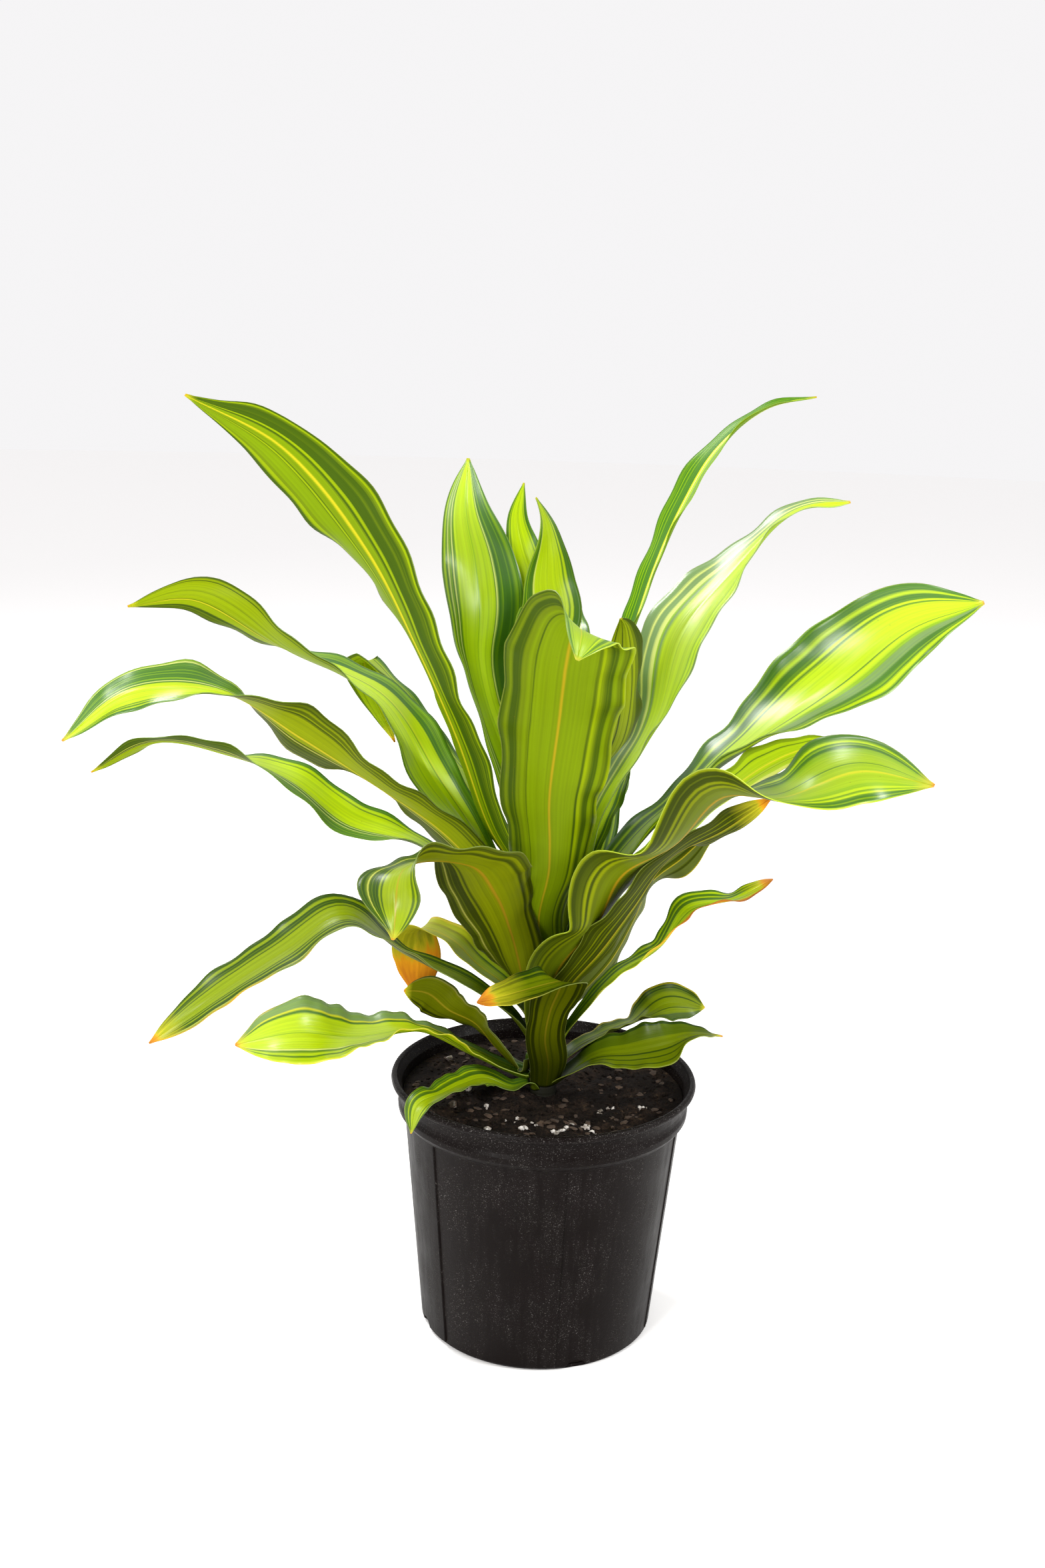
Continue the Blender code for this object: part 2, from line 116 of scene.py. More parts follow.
# Dark tissue of the sheaths, partly their own older colour and partly painted shade where the blades crowd
# round the cane: how dark and how far along the blade, for blades seated above a height in mm and for those
# below it
HIGH_SEAT = 300.0
HIGH_SHEATH_TONE_AND_SHADE = (0.6, 0.22)
LOW_SHEATH_TONE_AND_SHADE = (1.0, 0.40)

# Blades with fuller ends: where along it each is widest, and how blunt it ends
FULL_ENDS = {
    "leaf_front_folded": (0.60, 4.0),
    "leaf_left_low": (0.58, 3.2),
    "leaf_right_blunt": (0.58, 3.2),
    "leaf_left_short": (0.58, 4.0),
    "leaf_right_rolled": (0.58, 3.0),
    "leaf_left_drooping": (0.58, 2.6),
    "leaf_right_twisted": (0.58, 2.5),
    "leaf_left_dry_end": (0.58, 4.0),
    "leaf_front_wide": (0.70, 2.4),
    "leaf_right_broad": (0.58, 2.6),
    "leaf_front_tall": (0.78, 2.0),
    "leaf_front_right": (0.66, 3.0),
}

# Leaves, lowest first: azimuth on the cane in degrees, seat's height and width in mm, age, bands, wear,
# then the rib's stations, each x, y, z in mm from the foot of the pot and the blade's turn in degrees.
#
# Bands of tissue across the width: D dark green, G grey green, M mid green, S lime darkened as painted
# shade,
# L lime, P pale line, Y yellow rib, O orange rib. The number is the band's share of the width, from the
# margin that lies anticlockwise on the cane, seen from above, to the clockwise one.
#
# Wear: how olive the upper face and the underside have turned, partly with age and partly as painted shade
# on the lower blades, with shares past 1 darker still as painted shade; how far the blade is dry from the
# tip, how dry along its anticlockwise and clockwise margins, all as shares, then the ripple of its margins
# in mm and the number of ripples.
LEAVES = (
    ("leaf_front_small", 224, 227, 33, "older", "D6 L6 D4 L32 M2 L14 D12 L5 D16",
     (0.85, 0.85, 0.015, 0.02, 0.02, 1.2, 4.0), (
        (-14, -12, 235, -20), (-28, -15, 232, -30), (-51, -20, 242, -36), (-70, -50, 250, -6),
        (-90, -75, 250, 12), (-110, -90, 245, -34), (-115, -95, 220, -62))),
    ("leaf_right_low", -9, 232, 48, "older", "D6 M22 L24 D3 L10 D2 L12 D3 L9",
     (1.5, 1.5, 0.04, 0.0, 0.12, 1.6, 4.0), (
        (46, -8, 261, 14), (80, -15, 270, 30), (110, -20, 280, 44), (135, -20, 290, 2),
        (160, -20, 290, -10))),
    ("leaf_front_folded", 283, 232, 42, "dry", "D10 L3 D8 L16 M3 L9 Y3 L11 M3 L11 D8 L3 D10",
     (1.5, 1.6, 0.12, 0.14, 0.16, 1.2, 4.0), (
        (4, -23, 258, -8), (0, -36, 288, -12), (3, -53, 320, -10), (11, -72, 350, -26),
        (11, -90, 363, -20), (-2, -101, 364, -36), (-22, -108, 360, -38), (-44, -114, 355, -42),
        (-60, -118, 352, -72))),
    ("leaf_left_low", 185, 242, 68, "older", "Y3 L8 D3 L4 D4 P2 L25 M1 L27 D4 Y3 G14",
     (0.45, 0.45, 0.03, 0.1, 0.16, 2.2, 6.0), (
        (-13, -2, 236, -14), (-65, -10, 260, -6), (-115, -30, 290, 4), (-170, -50, 290, -10),
        (-220, -70, 300, -68), (-271, -75, 289, -106))),
    ("leaf_right_blunt", 22, 244, 43, "older", "Y4 D8 M6 L9 D3 L22 D2 L13 G14 D4",
     (1.4, 1.4, 0.02, 0.16, 0.12, 1.6, 4.0), (
        (28, 10, 260, -8), (55, 25, 270, -14), (85, 35, 280, -20), (115, 45, 295, 44),
        (150, 50, 290, 80))),
    ("leaf_rear_low", 106, 247, 58, "older", "D12 L4 D8 L24 M2 L26 D10 L4 D9",
     (0.5, 0.5, 0.05, 0.05, 0.05, 2.0, 5.0), (
        (-2, 40, 290, 0), (-5, 80, 335, 4), (-10, 130, 370, 8), (-15, 185, 390, 6), (-20, 240, 370, 0))),
    ("leaf_left_short", 174, 255, 43, "older", "G4 P3 L38 Y4 L22 M3 L10 D6 L4 D4",
     (1.4, 1.4, 0.03, 0.02, 0.05, 1.5, 4.0), (
        (-14, 1, 243, -2), (-21, 4, 241, 30), (-45, 9, 261, 52), (-65, 30, 275, 56), (-90, 35, 285, 74),
        (-110, 35, 300, 116), (-132, 35, 303, 132))),
    ("leaf_right_rolled", 5, 259, 36, "dry", "D6 L5 D8 L4 D10 L30 D4 L14 Y10",
     (0.3, 0.3, 0.08, 0.0, 0.5, 1.8, 4.0), (
        (21, 1, 282, 0), (38, 0, 308, 4), (65, 0, 340, 0), (100, 0, 365, -14), (125, 10, 400, 14),
        (165, 10, 410, -8), (200, 10, 430, 54))),
    ("leaf_left_drooping", 187, 268, 50, "older", "G6 P3 D10 L4 D5 L3 D2 L38 D2 L4 D9 L5 D6",
     (1.1, 1.1, 0.05, 0.22, 0.0, 1.8, 5.0), (
        (-31, -4, 296, -4), (-65, -10, 325, -10), (-130, -20, 360, 12), (-180, -40, 400, -14),
        (-230, -55, 370, -12), (-290, -65, 330, -16), (-345, -80, 290, -74))),
    ("leaf_right_striped", -31, 268, 60, "older", "D10 L3 D14 L2 D12 L8 Y2 D12 L3 D10 L2 D20",
     (1.2, 1.2, 0.07, 0.02, 0.0, 2.0, 4.0), (
        (12, -20, 303, -28), (16, -31, 331, -18), (45, -45, 375, -22), (70, -60, 420, -8),
        (100, -70, 470, 12), (145, -65, 495, -28), (185, -50, 520, -80))),
    ("leaf_right_inner", 26, 275, 51, "older", "Y3 G20 D8 G16 Y2 D10 G34 Y3",
     (1.0, 1.0, 0.03, 0.05, 0.05, 2.0, 4.0), (
        (18, 14, 293, -22), (33, 31, 308, -56), (60, 50, 335, -60), (80, 65, 370, -48), (95, 70, 405, -48),
        (125, 75, 430, -102), (155, 80, 460, -130))),
    ("leaf_right_twisted", -63, 283, 95, "young", "D8 L2 D7 M6 S12 D1 S10 O3 S14 M5 L4 D3 L3 D12 L2",
     (0.35, 0.95, 0.02, 0.0, 0.03, 2.6, 4.0), (
        (3, -30, 324, 22), (10, -48, 360, -16), (40, -60, 405, 34), (60, -90, 460, -2),
        (100, -115, 495, 32), (135, -130, 540, 4), (180, -145, 545, 30), (240, -150, 570, 102),
        (300, -150, 560, 150))),
    ("leaf_left_dry_end", 161, 283, 49, "dry", "Y5 L22 M3 L20 Y3 L20 D7 L10 Y6",
     (1.2, 1.4, 0.4, 0.1, 0.3, 1.5, 3.0), (
        (-22, 11, 300, 2), (-38, 14, 319, 0), (-65, 25, 335, -2), (-90, 35, 355, 6), (-120, 45, 360, 6),
        (-120, 50, 325, 60), (-120, 50, 290, 78))),
    ("leaf_rear_right", 61, 283, 64, "young", "D10 L4 D6 L30 M1 L27 D8 L4 D10",
     (0.2, 0.2, 0.03, 0.0, 0.02, 2.2, 5.0), (
        (14, 49, 340, 0), (30, 75, 400, -6), (45, 110, 460, -12), (55, 160, 500, -16), (65, 210, 510, -10),
        (70, 260, 490, 2))),
    ("leaf_front_wide", 230, 292, 82, "older", "D8 L4 D5 L28 O3 L21 D3 L2 D13 P2 D10",
     (1.0, 1.25, 0.015, 0.0, 0.02, 3.0, 5.0), (
        (-13, -11, 313, -2), (-21, -29, 336, -4), (-35, -65, 395, 68), (-50, -110, 445, 50),
        (-70, -145, 480, 10), (-120, -180, 485, 24), (-125, -205, 435, -92))),
    ("leaf_right_torn", 7, 293, 68, "dry", "M6 P20 L14 M2 L12 Y3 L20 D2 L8 M8",
     (0.0, 0.1, 0.02, 0.05, 0.12, 2.0, 6.0), (
        (15, 7, 313, -18), (33, 4, 353, -36), (65, 10, 415, -34), (115, 20, 460, -28), (155, 30, 500, -38),
        (205, 35, 535, -58), (260, 35, 555, -80))),
    ("leaf_left_narrow", 171, 306, 47, "older", "D26 P2 D6 P2 D3 L46 D2 L6 D7",
     (0.0, 0.6, 0.015, 0.0, 0.0, 2.0, 5.0), (
        (-45, 9, 383, 12), (-115, 25, 445, 6), (-185, 35, 465, -36), (-235, 40, 500, -18),
        (-295, 45, 520, 24), (-360, 45, 530, 28), (-420, 45, 500, 68))),
    ("leaf_rear_left", 119, 317, 66, "young", "D14 L3 D6 L26 M1 L30 D5 L3 D12",
     (0.2, 0.2, 0.03, 0.02, 0.0, 2.2, 5.0), (
        (-11, 47, 372, 2), (-25, 80, 440, 20), (-35, 120, 515, 28), (-50, 150, 585, 28),
        (-55, 195, 610, 12), (-60, 235, 605, -24))),
    ("leaf_left_middle", 166, 324, 59, "young", "D8 L3 D4 L2 D3 L28 Y3 L7 D3 P2 D32 P1 D3",
     (0.2, 0.9, 0.015, 0.02, 0.05, 2.6, 6.0), (
        (-39, -1, 397, 52), (-90, -30, 470, 76), (-155, -45, 520, 38), (-215, -55, 560, 90),
        (-280, -65, 600, 16), (-355, -75, 600, -32), (-415, -70, 555, -72))),
    ("leaf_right_broad", 18, 327, 106, "young", "D10 L4 D8 L3 D2 L29 D1 L5 M4 G9 D9 L5 D4",
     (0.12, 0.2, 0.01, 0.0, 0.02, 2.4, 5.0), (
        (34, 19, 388, -14), (70, 25, 445, -10), (125, 45, 500, -22), (185, 60, 550, -8),
        (250, 75, 600, 28), (315, 80, 655, 68), (385, 85, 675, 50))),
    ("leaf_front_tall", 280, 340, 99, "young", "L3 D4 S4 D5 M3 L3 D2 S24 O2 S22 D1 S5 M5 D8 M3 D4",
     (0.35, 0.6, 0.0, 0.0, 0.0, 4.6, 5.0), (
        (-10, -42, 399, 6), (-3, -80, 460, -6), (-5, -115, 535, -16), (0, -135, 600, -12),
        (3, -166, 650, -20), (7, -184, 676, -26), (12, -206, 686, -30), (13, -224, 683, -34),
        (10, -237, 667, -36))),
    ("leaf_left_upper", 165, 343, 64, "young", "D4 L4 D2 L24 M1 L24 D1 L1 Y2 L16 D21",
     (0.0, 0.6, 0.012, 0.0, 0.0, 2.2, 5.0), (
        (-27, 3, 395, 20), (-55, 0, 445, 16), (-105, 10, 510, -30), (-155, 30, 580, 0),
        (-240, 35, 620, 24), (-320, 35, 665, 108), (-380, 30, 655, 72))),
    ("leaf_front_right", 291, 343, 62, "young", "D22 M10 L8 D3 L20 D4 L20 D4 L9",
     (0.4, 0.8, 0.0, 0.0, 0.0, 2.5, 4.0), (
        (13, -29, 448, 30), (35, -70, 540, 38), (50, -85, 570, 28), (55, -100, 600, 38),
        (55, -110, 635, 30), (50, -120, 675, 10), (46, -126, 682, -2))),
    ("leaf_rear_side", 48, 351, 58, "young", "D12 L3 D9 L24 M1 L26 D8 L4 D13",
     (0.2, 0.2, 0.03, 0.0, 0.02, 2.0, 5.0), (
        (19, 28, 410, 0), (40, 50, 465, -6), (60, 80, 510, -14), (80, 120, 550, -18),
        (100, 160, 565, -10))),
    ("leaf_left_curled", 146, 358, 50, "young", "D8 L12 M2 L30 Y2 L24 D2 L6 D12",
     (0.3, 0.3, 0.03, 0.05, 0.1, 1.5, 4.0), (
        (-36, 23, 437, 8), (-85, 70, 500, 16), (-120, 95, 535, 16), (-145, 100, 570, 24),
        (-180, 110, 600, 18), (-170, 115, 565, 38), (-150, 120, 520, 72))),
    ("leaf_right_tall", 38, 363, 77, "young", "G10 P3 G8 P5 M2 G4 L50 D1 L7 M3 L4 G3",
     (0.0, 0.0, 0.01, 0.0, 0.04, 2.0, 5.0), (
        (27, 21, 427, -10), (46, 26, 488, -28), (90, 45, 565, -24), (110, 65, 640, 8), (155, 85, 695, -14),
        (210, 95, 750, -34), (260, 100, 760, 24))),
    ("leaf_left_tall", 205, 373, 77, "young", "D4 L2 D24 L3 D4 S9 Y4 S9 D1 L3 D1 S20 M5 L6 D6",
     (0.2, 0.4, 0.008, 0.0, 0.0, 2.4, 5.0), (
        (-27, -13, 431, 2), (-55, -15, 475, 6), (-85, -35, 560, 2), (-120, -65, 645, -4),
        (-160, -90, 725, 24), (-225, -110, 805, 76), (-295, -135, 845, 42))),
    ("leaf_rear_tall", 84, 373, 62, "young", "D9 L4 D5 L32 M1 L28 D6 L3 D12",
     (0.1, 0.1, 0.02, 0.0, 0.0, 2.0, 5.0), (
        (2, 28, 440, -4), (3, 53, 505, -2), (5, 80, 570, -4), (5, 115, 625, -4), (5, 150, 650, 6),
        (5, 190, 660, 6))),
    ("leaf_right_slender", -7, 389, 50, "young", "D42 Y4 P6 G4 L6 G28 D6",
     (0.0, 0.0, 0.01, 0.0, 0.0, 1.6, 5.0), (
        (30, -7, 535, 4), (65, -20, 665, 12), (80, -20, 715, 16), (100, -20, 765, 20), (125, -20, 810, 24),
        (165, -20, 845, 2), (205, -20, 855, 30))),
    ("leaf_centre_glossy", 114, 403, 83, "young", "D3 L3 D3 P2 D5 P2 D4 L26 M1 L20 D1 P2 D28",
     (0.0, 0.0, 0.002, 0.0, 0.0, 1.0, 4.0), (
        (-26, 29, 494, 14), (-60, 40, 575, 38), (-70, 50, 615, 34), (-70, 55, 660, 8), (-75, 65, 700, -10),
        (-85, 65, 745, -18), (-85, 75, 790, -20))),
    ("leaf_centre_rear", 68, 415, 46, "young", "D10 L3 D4 L62 D3 L4 D14",
     (0.3, 0.4, 0.004, 0.0, 0.0, 1.0, 4.0), (
        (2, 35, 528, -22), (-15, 60, 630, -36), (-20, 65, 660, -28), (-25, 70, 685, -10),
        (-35, 75, 715, 24), (-40, 75, 740, 38), (-35, 75, 770, 18))),
    ("leaf_centre_young", 31, 433, 57, "young", "D18 P3 L58 D3 L5 D13",
     (0.6, 0.7, 0.004, 0.0, 0.0, 1.0, 4.0), (
        (7, -2, 547, 26), (-11, -7, 650, 48), (-7, -7, 670, 56), (-11, -5, 693, 68), (-12, -3, 718, 90),
        (-15, -2, 742, 118), (-24, 0, 764, 124))),
)

# Leaves with a duller cuticle: the share of the full shine that each keeps
DULL_LEAVES = {"leaf_right_slender": 0.15, "leaf_centre_young": 0.35, "leaf_centre_rear": 0.35}

# Tissue colours, in sRGB: the glossy upper face, then the duller underside, fresh and turned olive; the
# olive colours are partly the older tissue's own and partly painted shade, darkened where the lower blades
# lie in shade
# S, on both faces, is lime darkened as painted shade
UPPER = {
    "D": "4E8420", "G": "84A662", "M": "9AC60A", "S": "AED006", "L": "D0EC02", "P": "F0F890", "Y": "DEE628",
    "O": "D2D818"}
UNDER = {
    "D": "46680A", "G": "728C38", "M": "789206", "S": "86A604", "L": "A0BC02", "P": "C4CC4E", "Y": "D0C820",
    "O": "B0A416"}
UPPER_OLIVE_AND_SHADE = {
    "D": "3A5A0E", "G": "66803A", "M": "708A0A", "S": "889E08", "L": "98AE08", "P": "C2C850", "Y": "C2B826",
    "O": "AEA018"}
UNDER_OLIVE_AND_SHADE = {
    "D": "3C4606", "G": "626E2C", "M": "626E08", "S": "6E7C04", "L": "848E04", "P": "A8A848", "Y": "BAAA22",
    "O": "AE8C18"}

# How strongly mid green streaks show in each tissue
STREAKS = {"D": 0.80, "G": 0.45, "M": 0.30, "S": 0.50, "L": 0.38, "P": 0.10, "Y": 0.0, "O": 0.0}

# Length of blade in mm that one unit of the tissue's pattern spans, the pattern's step from blade to blade,
# and the relief of the veins in m
PATTERN_LENGTH = 500.0
PATTERN_STEP = 3.7
VEIN_RELIEF = 0.00018

# Noise in the tissue: its scale across and along the blade, its detail and its roughness. In turn: veins
# about 0.8 mm apart, drawn in groups of 1 to 3 mm so that they show; streaks 2 to 4 mm wide; the bands'
# wandering over some 60 mm; cloudy patches where tissue yellows; flecks of 1 to 2 mm where it was scuffed.
TISSUE_NOISE = (
    (46.0, 1.4, 3.0, 0.6),
    (27.0, 0.8, 2.0, 0.55),
    (7.0, 8.0, 2.0, 0.5),
    (9.0, 14.0, 5.0, 0.62),
    (34.0, 170.0, 1.0, 0.5),
)


def linear(code, alpha=1.0):
    """Linear colour from an sRGB one in hex."""
    values = [int(code[i:i + 2], 16) / 255.0 for i in (0, 2, 4)]
    return (*[v / 12.92 if v <= 0.04045 else ((v + 0.055) / 1.055) ** 2.4 for v in values], alpha)


def blended(first, second, share):
    """Colour between two linear ones."""
    return tuple(a + (b - a) * share for a, b in zip(first, second))


def eased(value, low, high):
    """Smooth rise from 0 at low to 1 at high."""
    x = np.clip((value - low) / (high - low), 0.0, 1.0)
    return x * x * (3.0 - 2.0 * x)


def add_node(tree, kind, links=None, **settings):
    """Add a node; links maps its inputs to sockets, to nodes for their first output, or to plain values."""
    node = tree.nodes.new(kind)
    for key, value in settings.items():
        setattr(node, key, value)
    for key, value in (links or {}).items():
        if isinstance(value, bpy.types.Node):
            value = value.outputs[0]
        if isinstance(value, bpy.types.NodeSocket):
            tree.links.new(value, node.inputs[key])
        else:
            node.inputs[key].default_value = value
    return node


def set_ramp(ramp, stops):
    """Put colour stops, given as (position, linear colour), on a ramp."""
    ramp.elements[0].position, ramp.elements[0].color = stops[0]
    ramp.elements[1].position, ramp.elements[1].color = stops[-1]
    for position, colour in stops[1:-1]:
        ramp.elements.new(position).color = colour


def new_material(name, **values):
    """Principled material with plain values on the shader's sockets; gives it, its tree and its shader."""
    mat = bpy.data.materials.new(name)
    mat.use_nodes = True
    shader = mat.node_tree.nodes["Principled BSDF"]
    for key, value in values.items():
        shader.inputs[key.replace("_", " ")].default_value = value
    return mat, mat.node_tree, shader


def connect(shader, **sources):
    """Link sockets, or nodes' first outputs, to the shader's inputs of the same names."""
    for key, source in sources.items():
        socket = source.outputs[0] if isinstance(source, bpy.types.Node) else source
        shader.id_data.links.new(socket, shader.inputs[key.replace("_", " ")])


def add_mesh(name, bm):
    """Turn a bmesh into a mesh."""
    mesh = bpy.data.meshes.new(name)
    bm.to_mesh(mesh)
    bm.free()
    return mesh


def add_object(name, data):
    """Object with the given data, linked to the scene."""
    item = bpy.data.objects.new(name, data)
    bpy.context.scene.collection.objects.link(item)
    return item


def new_piece(name, bm, materials, node=None, smooth_angle=None):
    """Turn a bmesh into a piece that rides on the plant, standing for a solid where one is named."""
    mesh = add_mesh(name, bm)
    for mat in materials:
        mesh.materials.append(mat)
    if smooth_angle is not None:
        mesh.shade_smooth()
        mesh.set_sharp_from_angle(angle=math.radians(smooth_angle))
    piece = add_object(name, mesh)
    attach(piece, "root")
    if node:
        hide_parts(node)
    return piece


def settle_modifiers(piece):
    """Bake a piece's modifiers into its mesh."""
    depsgraph = bpy.context.evaluated_depsgraph_get()
    mesh = bpy.data.meshes.new_from_object(piece.evaluated_get(depsgraph))
    piece.modifiers.clear()
    piece.data = mesh


def turned(profile, sides):
    """Spin a profile of (radius, z) in millimetres round the Z axis."""
    bm = bmesh.new()
    points = [bm.verts.new((r * MM, 0.0, z * MM)) for r, z in profile]
    edges = [bm.edges.new((a, b)) for a, b in zip(points, points[1:])]
    bmesh.ops.spin(
        bm, geom=points + edges, cent=(0, 0, 0), axis=(0, 0, 1), angle=math.tau, steps=sides,
        use_merge=True)
    bmesh.ops.remove_doubles(bm, verts=bm.verts, dist=1e-6)
    bm.normal_update()
    bmesh.ops.recalc_face_normals(bm, faces=bm.faces)
    return bm


def wall_radius(z):
    """Outer radius of the pot's tapered wall at height z."""
    return BASE_RADIUS + (WALL_TOP_RADIUS - BASE_RADIUS) * (z - 3.0) / (WALL_TOP_Z - 3.0)


def pot_profile():
    """Section of the pot as the solid has it: flat base, tapered wall, bead, band and rolled lip."""
    top, outer = POT_BOX[1].z / MM, POT_BOX[1].x / MM
    outside = [
        (0.0, 0.0), (BASE_RADIUS - 3.0, 0.0), (BASE_RADIUS, 3.0),
        (WALL_TOP_RADIUS, WALL_TOP_Z), (WALL_TOP_RADIUS + 3.4, WALL_TOP_Z + 3.0),
        (WALL_TOP_RADIUS + 6.2, WALL_TOP_Z + 7.0), (WALL_TOP_RADIUS + 6.6, WALL_TOP_Z + 12.0),
        (WALL_TOP_RADIUS + 5.0, WALL_TOP_Z + 15.5), (WALL_TOP_RADIUS + 4.3, WALL_TOP_Z + 19.0),
        (WALL_TOP_RADIUS + 5.2, top - 9.0), (outer - 3.4, top - 8.0), (outer - 0.6, top - 6.0),
        (outer, top - 3.6), (outer - 1.1, top - 0.9), (outer - 3.1, top),
    ]
    inside = [
        (outer - 5.2, top - 0.8), (outer - 6.0, top - 2.8), (WALL_TOP_RADIUS + 3.2, top - 9.6),
        (WALL_TOP_RADIUS + 2.4, WALL_TOP_Z + 19.0), (WALL_TOP_RADIUS + 4.4, WALL_TOP_Z + 12.0),
        (WALL_TOP_RADIUS - WALL, WALL_TOP_Z + 1.0), (BASE_RADIUS - WALL, 5.0),
        (BASE_RADIUS - WALL - 2.5, 2.4), (0.0, 2.4),
    ]
    return outside + inside


def bevel(bm, edges, offset, segments):
    """Round edges of a bmesh by an offset in mm."""
    bmesh.ops.bevel(
        bm, geom=edges, offset=offset * MM, offset_type='OFFSET', segments=segments, profile=0.5,
        affect='EDGES', clamp_overlap=True, material=-1)


def round_rings(bm, offset):
    """Round the turned rings of a lathed shape, so that its lip and beads catch the light softly."""
    rings = []
    for edge in bm.edges:
        a, b = (v.co for v in edge.verts)
        level = abs(a.z - b.z) < 1e-6 and abs(a.to_2d().length - b.to_2d().length) < 1e-6
        if level and edge.calc_face_angle(0.0) > math.radians(6.0):
            rings.append(edge)
    bevel(bm, rings, offset, 3)


def add_seam(bm, angle, width, proud):
    """Parting seam: a slim bar sunk in the wall, standing a little proud of it from foot to bead."""
    low, high = 5.0, WALL_TOP_Z - 1.0
    bar = bmesh.ops.create_cube(bm, size=1.0)["verts"]
    c, s = math.cos(math.radians(angle)), math.sin(math.radians(angle))
    for v in bar:
        z = high if v.co.z > 0 else low
        radius = wall_radius(z) + (proud if v.co.x > 0 else -1.2)
        across = width * v.co.y * (0.6 if v.co.x > 0 else 1.6)
        v.co = Vector((radius * c - across * s, radius * s + across * c, z)) * MM
    edges = list({e for v in bar for e in v.link_edges})
    bevel(bm, edges, 0.25, 2)


def cut_drains(pot):
    """Cut the four arched drain slots through the foot of the wall."""
    cutters = []
    for angle in DRAIN_ANGLES:
        bm = bmesh.new()
        bmesh.ops.create_cone(
            bm, cap_ends=True, segments=48, radius1=DRAIN_WIDTH / 2 * MM, radius2=DRAIN_WIDTH / 2 * MM,
            depth=9.0 * MM)
        rise = Matrix.Diagonal((1.0, 2.0 * DRAIN_HEIGHT / DRAIN_WIDTH, 1.0, 1.0))
        lay = Matrix.Rotation(math.radians(90.0), 4, 'X')
        out = Matrix.Translation((0.0, -(BASE_RADIUS + 1.0) * MM, 0.0))
        turn = Matrix.Rotation(math.radians(angle + 90.0), 4, 'Z')
        bmesh.ops.transform(bm, matrix=turn @ out @ lay @ rise, verts=bm.verts)
        cutter = add_object("drain_cutter", add_mesh("drain_cutter", bm))
        mod = pot.modifiers.new("Drain", 'BOOLEAN')
        mod.operation = 'DIFFERENCE'
        mod.object = cutter
        mod.solver = 'EXACT'
        cutters.append(cutter)
    settle_modifiers(pot)
    for cutter in cutters:
        bpy.data.objects.remove(cutter, do_unlink=True)


def pot_plastic(colour, roughness):
    """Polyethylene, blow moulded, never painted: fine grain, broad soft sheen, dust in specks and runs."""
    mat, tree, shader = new_material("blow_moulded_polyethylene", IOR=1.51, Specular_IOR_Level=0.06)
    place = add_node(tree, "ShaderNodeTexCoord").outputs["Object"]
    # The mould's etched grain, 0.9 mm from grain to grain, drawn at about twice that so that it shows
    grain = add_node(
        tree, "ShaderNodeTexNoise", {"Vector": place, "Scale": 520.0, "Detail": 3.0, "Roughness": 0.6})
    # Cloudy patches 30 to 60 mm across, where the wall has been handled and watered
    cloud = add_node(
        tree, "ShaderNodeTexNoise", {"Vector": place, "Scale": 22.0, "Detail": 5.0, "Roughness": 0.62})
    # Water runs down the wall: 6 mm wide and several centimetres long
    tall = add_node(tree, "ShaderNodeMapping", {"Vector": place, "Scale": (150.0, 150.0, 9.0)})
    runs = add_node(
        tree, "ShaderNodeTexNoise", {"Vector": tall, "Scale": 1.0, "Detail": 4.0, "Roughness": 0.55})
    dust = add_node(
        tree, "ShaderNodeTexNoise", {"Vector": place, "Scale": 900.0, "Detail": 2.0, "Roughness": 0.7})
    # Dust keeps to the clouds and runs
    held = add_node(tree, "ShaderNodeMath", {0: cloud, 1: runs}, operation='MULTIPLY')
    film = add_node(tree, "ShaderNodeMapRange", {"Value": held, "From Min": 0.20, "From Max": 0.42})
    speck = add_node(
        tree, "ShaderNodeMapRange", {"Value": dust, "From Min": 0.60, "From Max": 0.76, "To Max": 0.7})
    both = add_node(tree, "ShaderNodeMath", {0: film, 1: speck}, operation='MULTIPLY')
    # Handling has scuffed the band and the lip, from 200 mm up: pale specks with no film between them
    level = add_node(tree, "ShaderNodeSeparateXYZ", {"Vector": place})
    handled = add_node(
        tree, "ShaderNodeMapRange",
        {"Value": level.outputs["Z"], "From Min": 0.200, "From Max": 0.238, "To Max": 0.8})
    scuff = add_node(tree, "ShaderNodeMath", {0: handled, 1: speck}, operation='MULTIPLY')
    marks = add_node(tree, "ShaderNodeMath", {0: both, 1: scuff}, operation='MAXIMUM')
    tint = add_node(tree, "ShaderNodeValToRGB", {"Fac": film})
    set_ramp(tint.color_ramp, [(0.0, colour), (1.0, blended(colour, linear("4A4644"), 0.05))])
    dusty = add_node(
        tree, "ShaderNodeMix", {"Factor": marks, 6: tint, 7: linear("8E8A86")}, data_type='RGBA')
    rough = add_node(
        tree, "ShaderNodeMapRange",
        {"Value": held, "From Min": 0.12, "From Max": 0.42, "To Min": roughness - 0.06,
         "To Max": roughness + 0.16})
    fine = add_node(tree, "ShaderNodeBump", {"Height": grain, "Strength": 0.30, "Distance": 0.0004})
    wavy = add_node(
        tree, "ShaderNodeBump", {"Height": cloud, "Strength": 0.35, "Distance": 0.0012, "Normal": fine})
    connect(shader, Base_Color=dusty.outputs[2], Roughness=rough, Normal=wavy)
    return mat


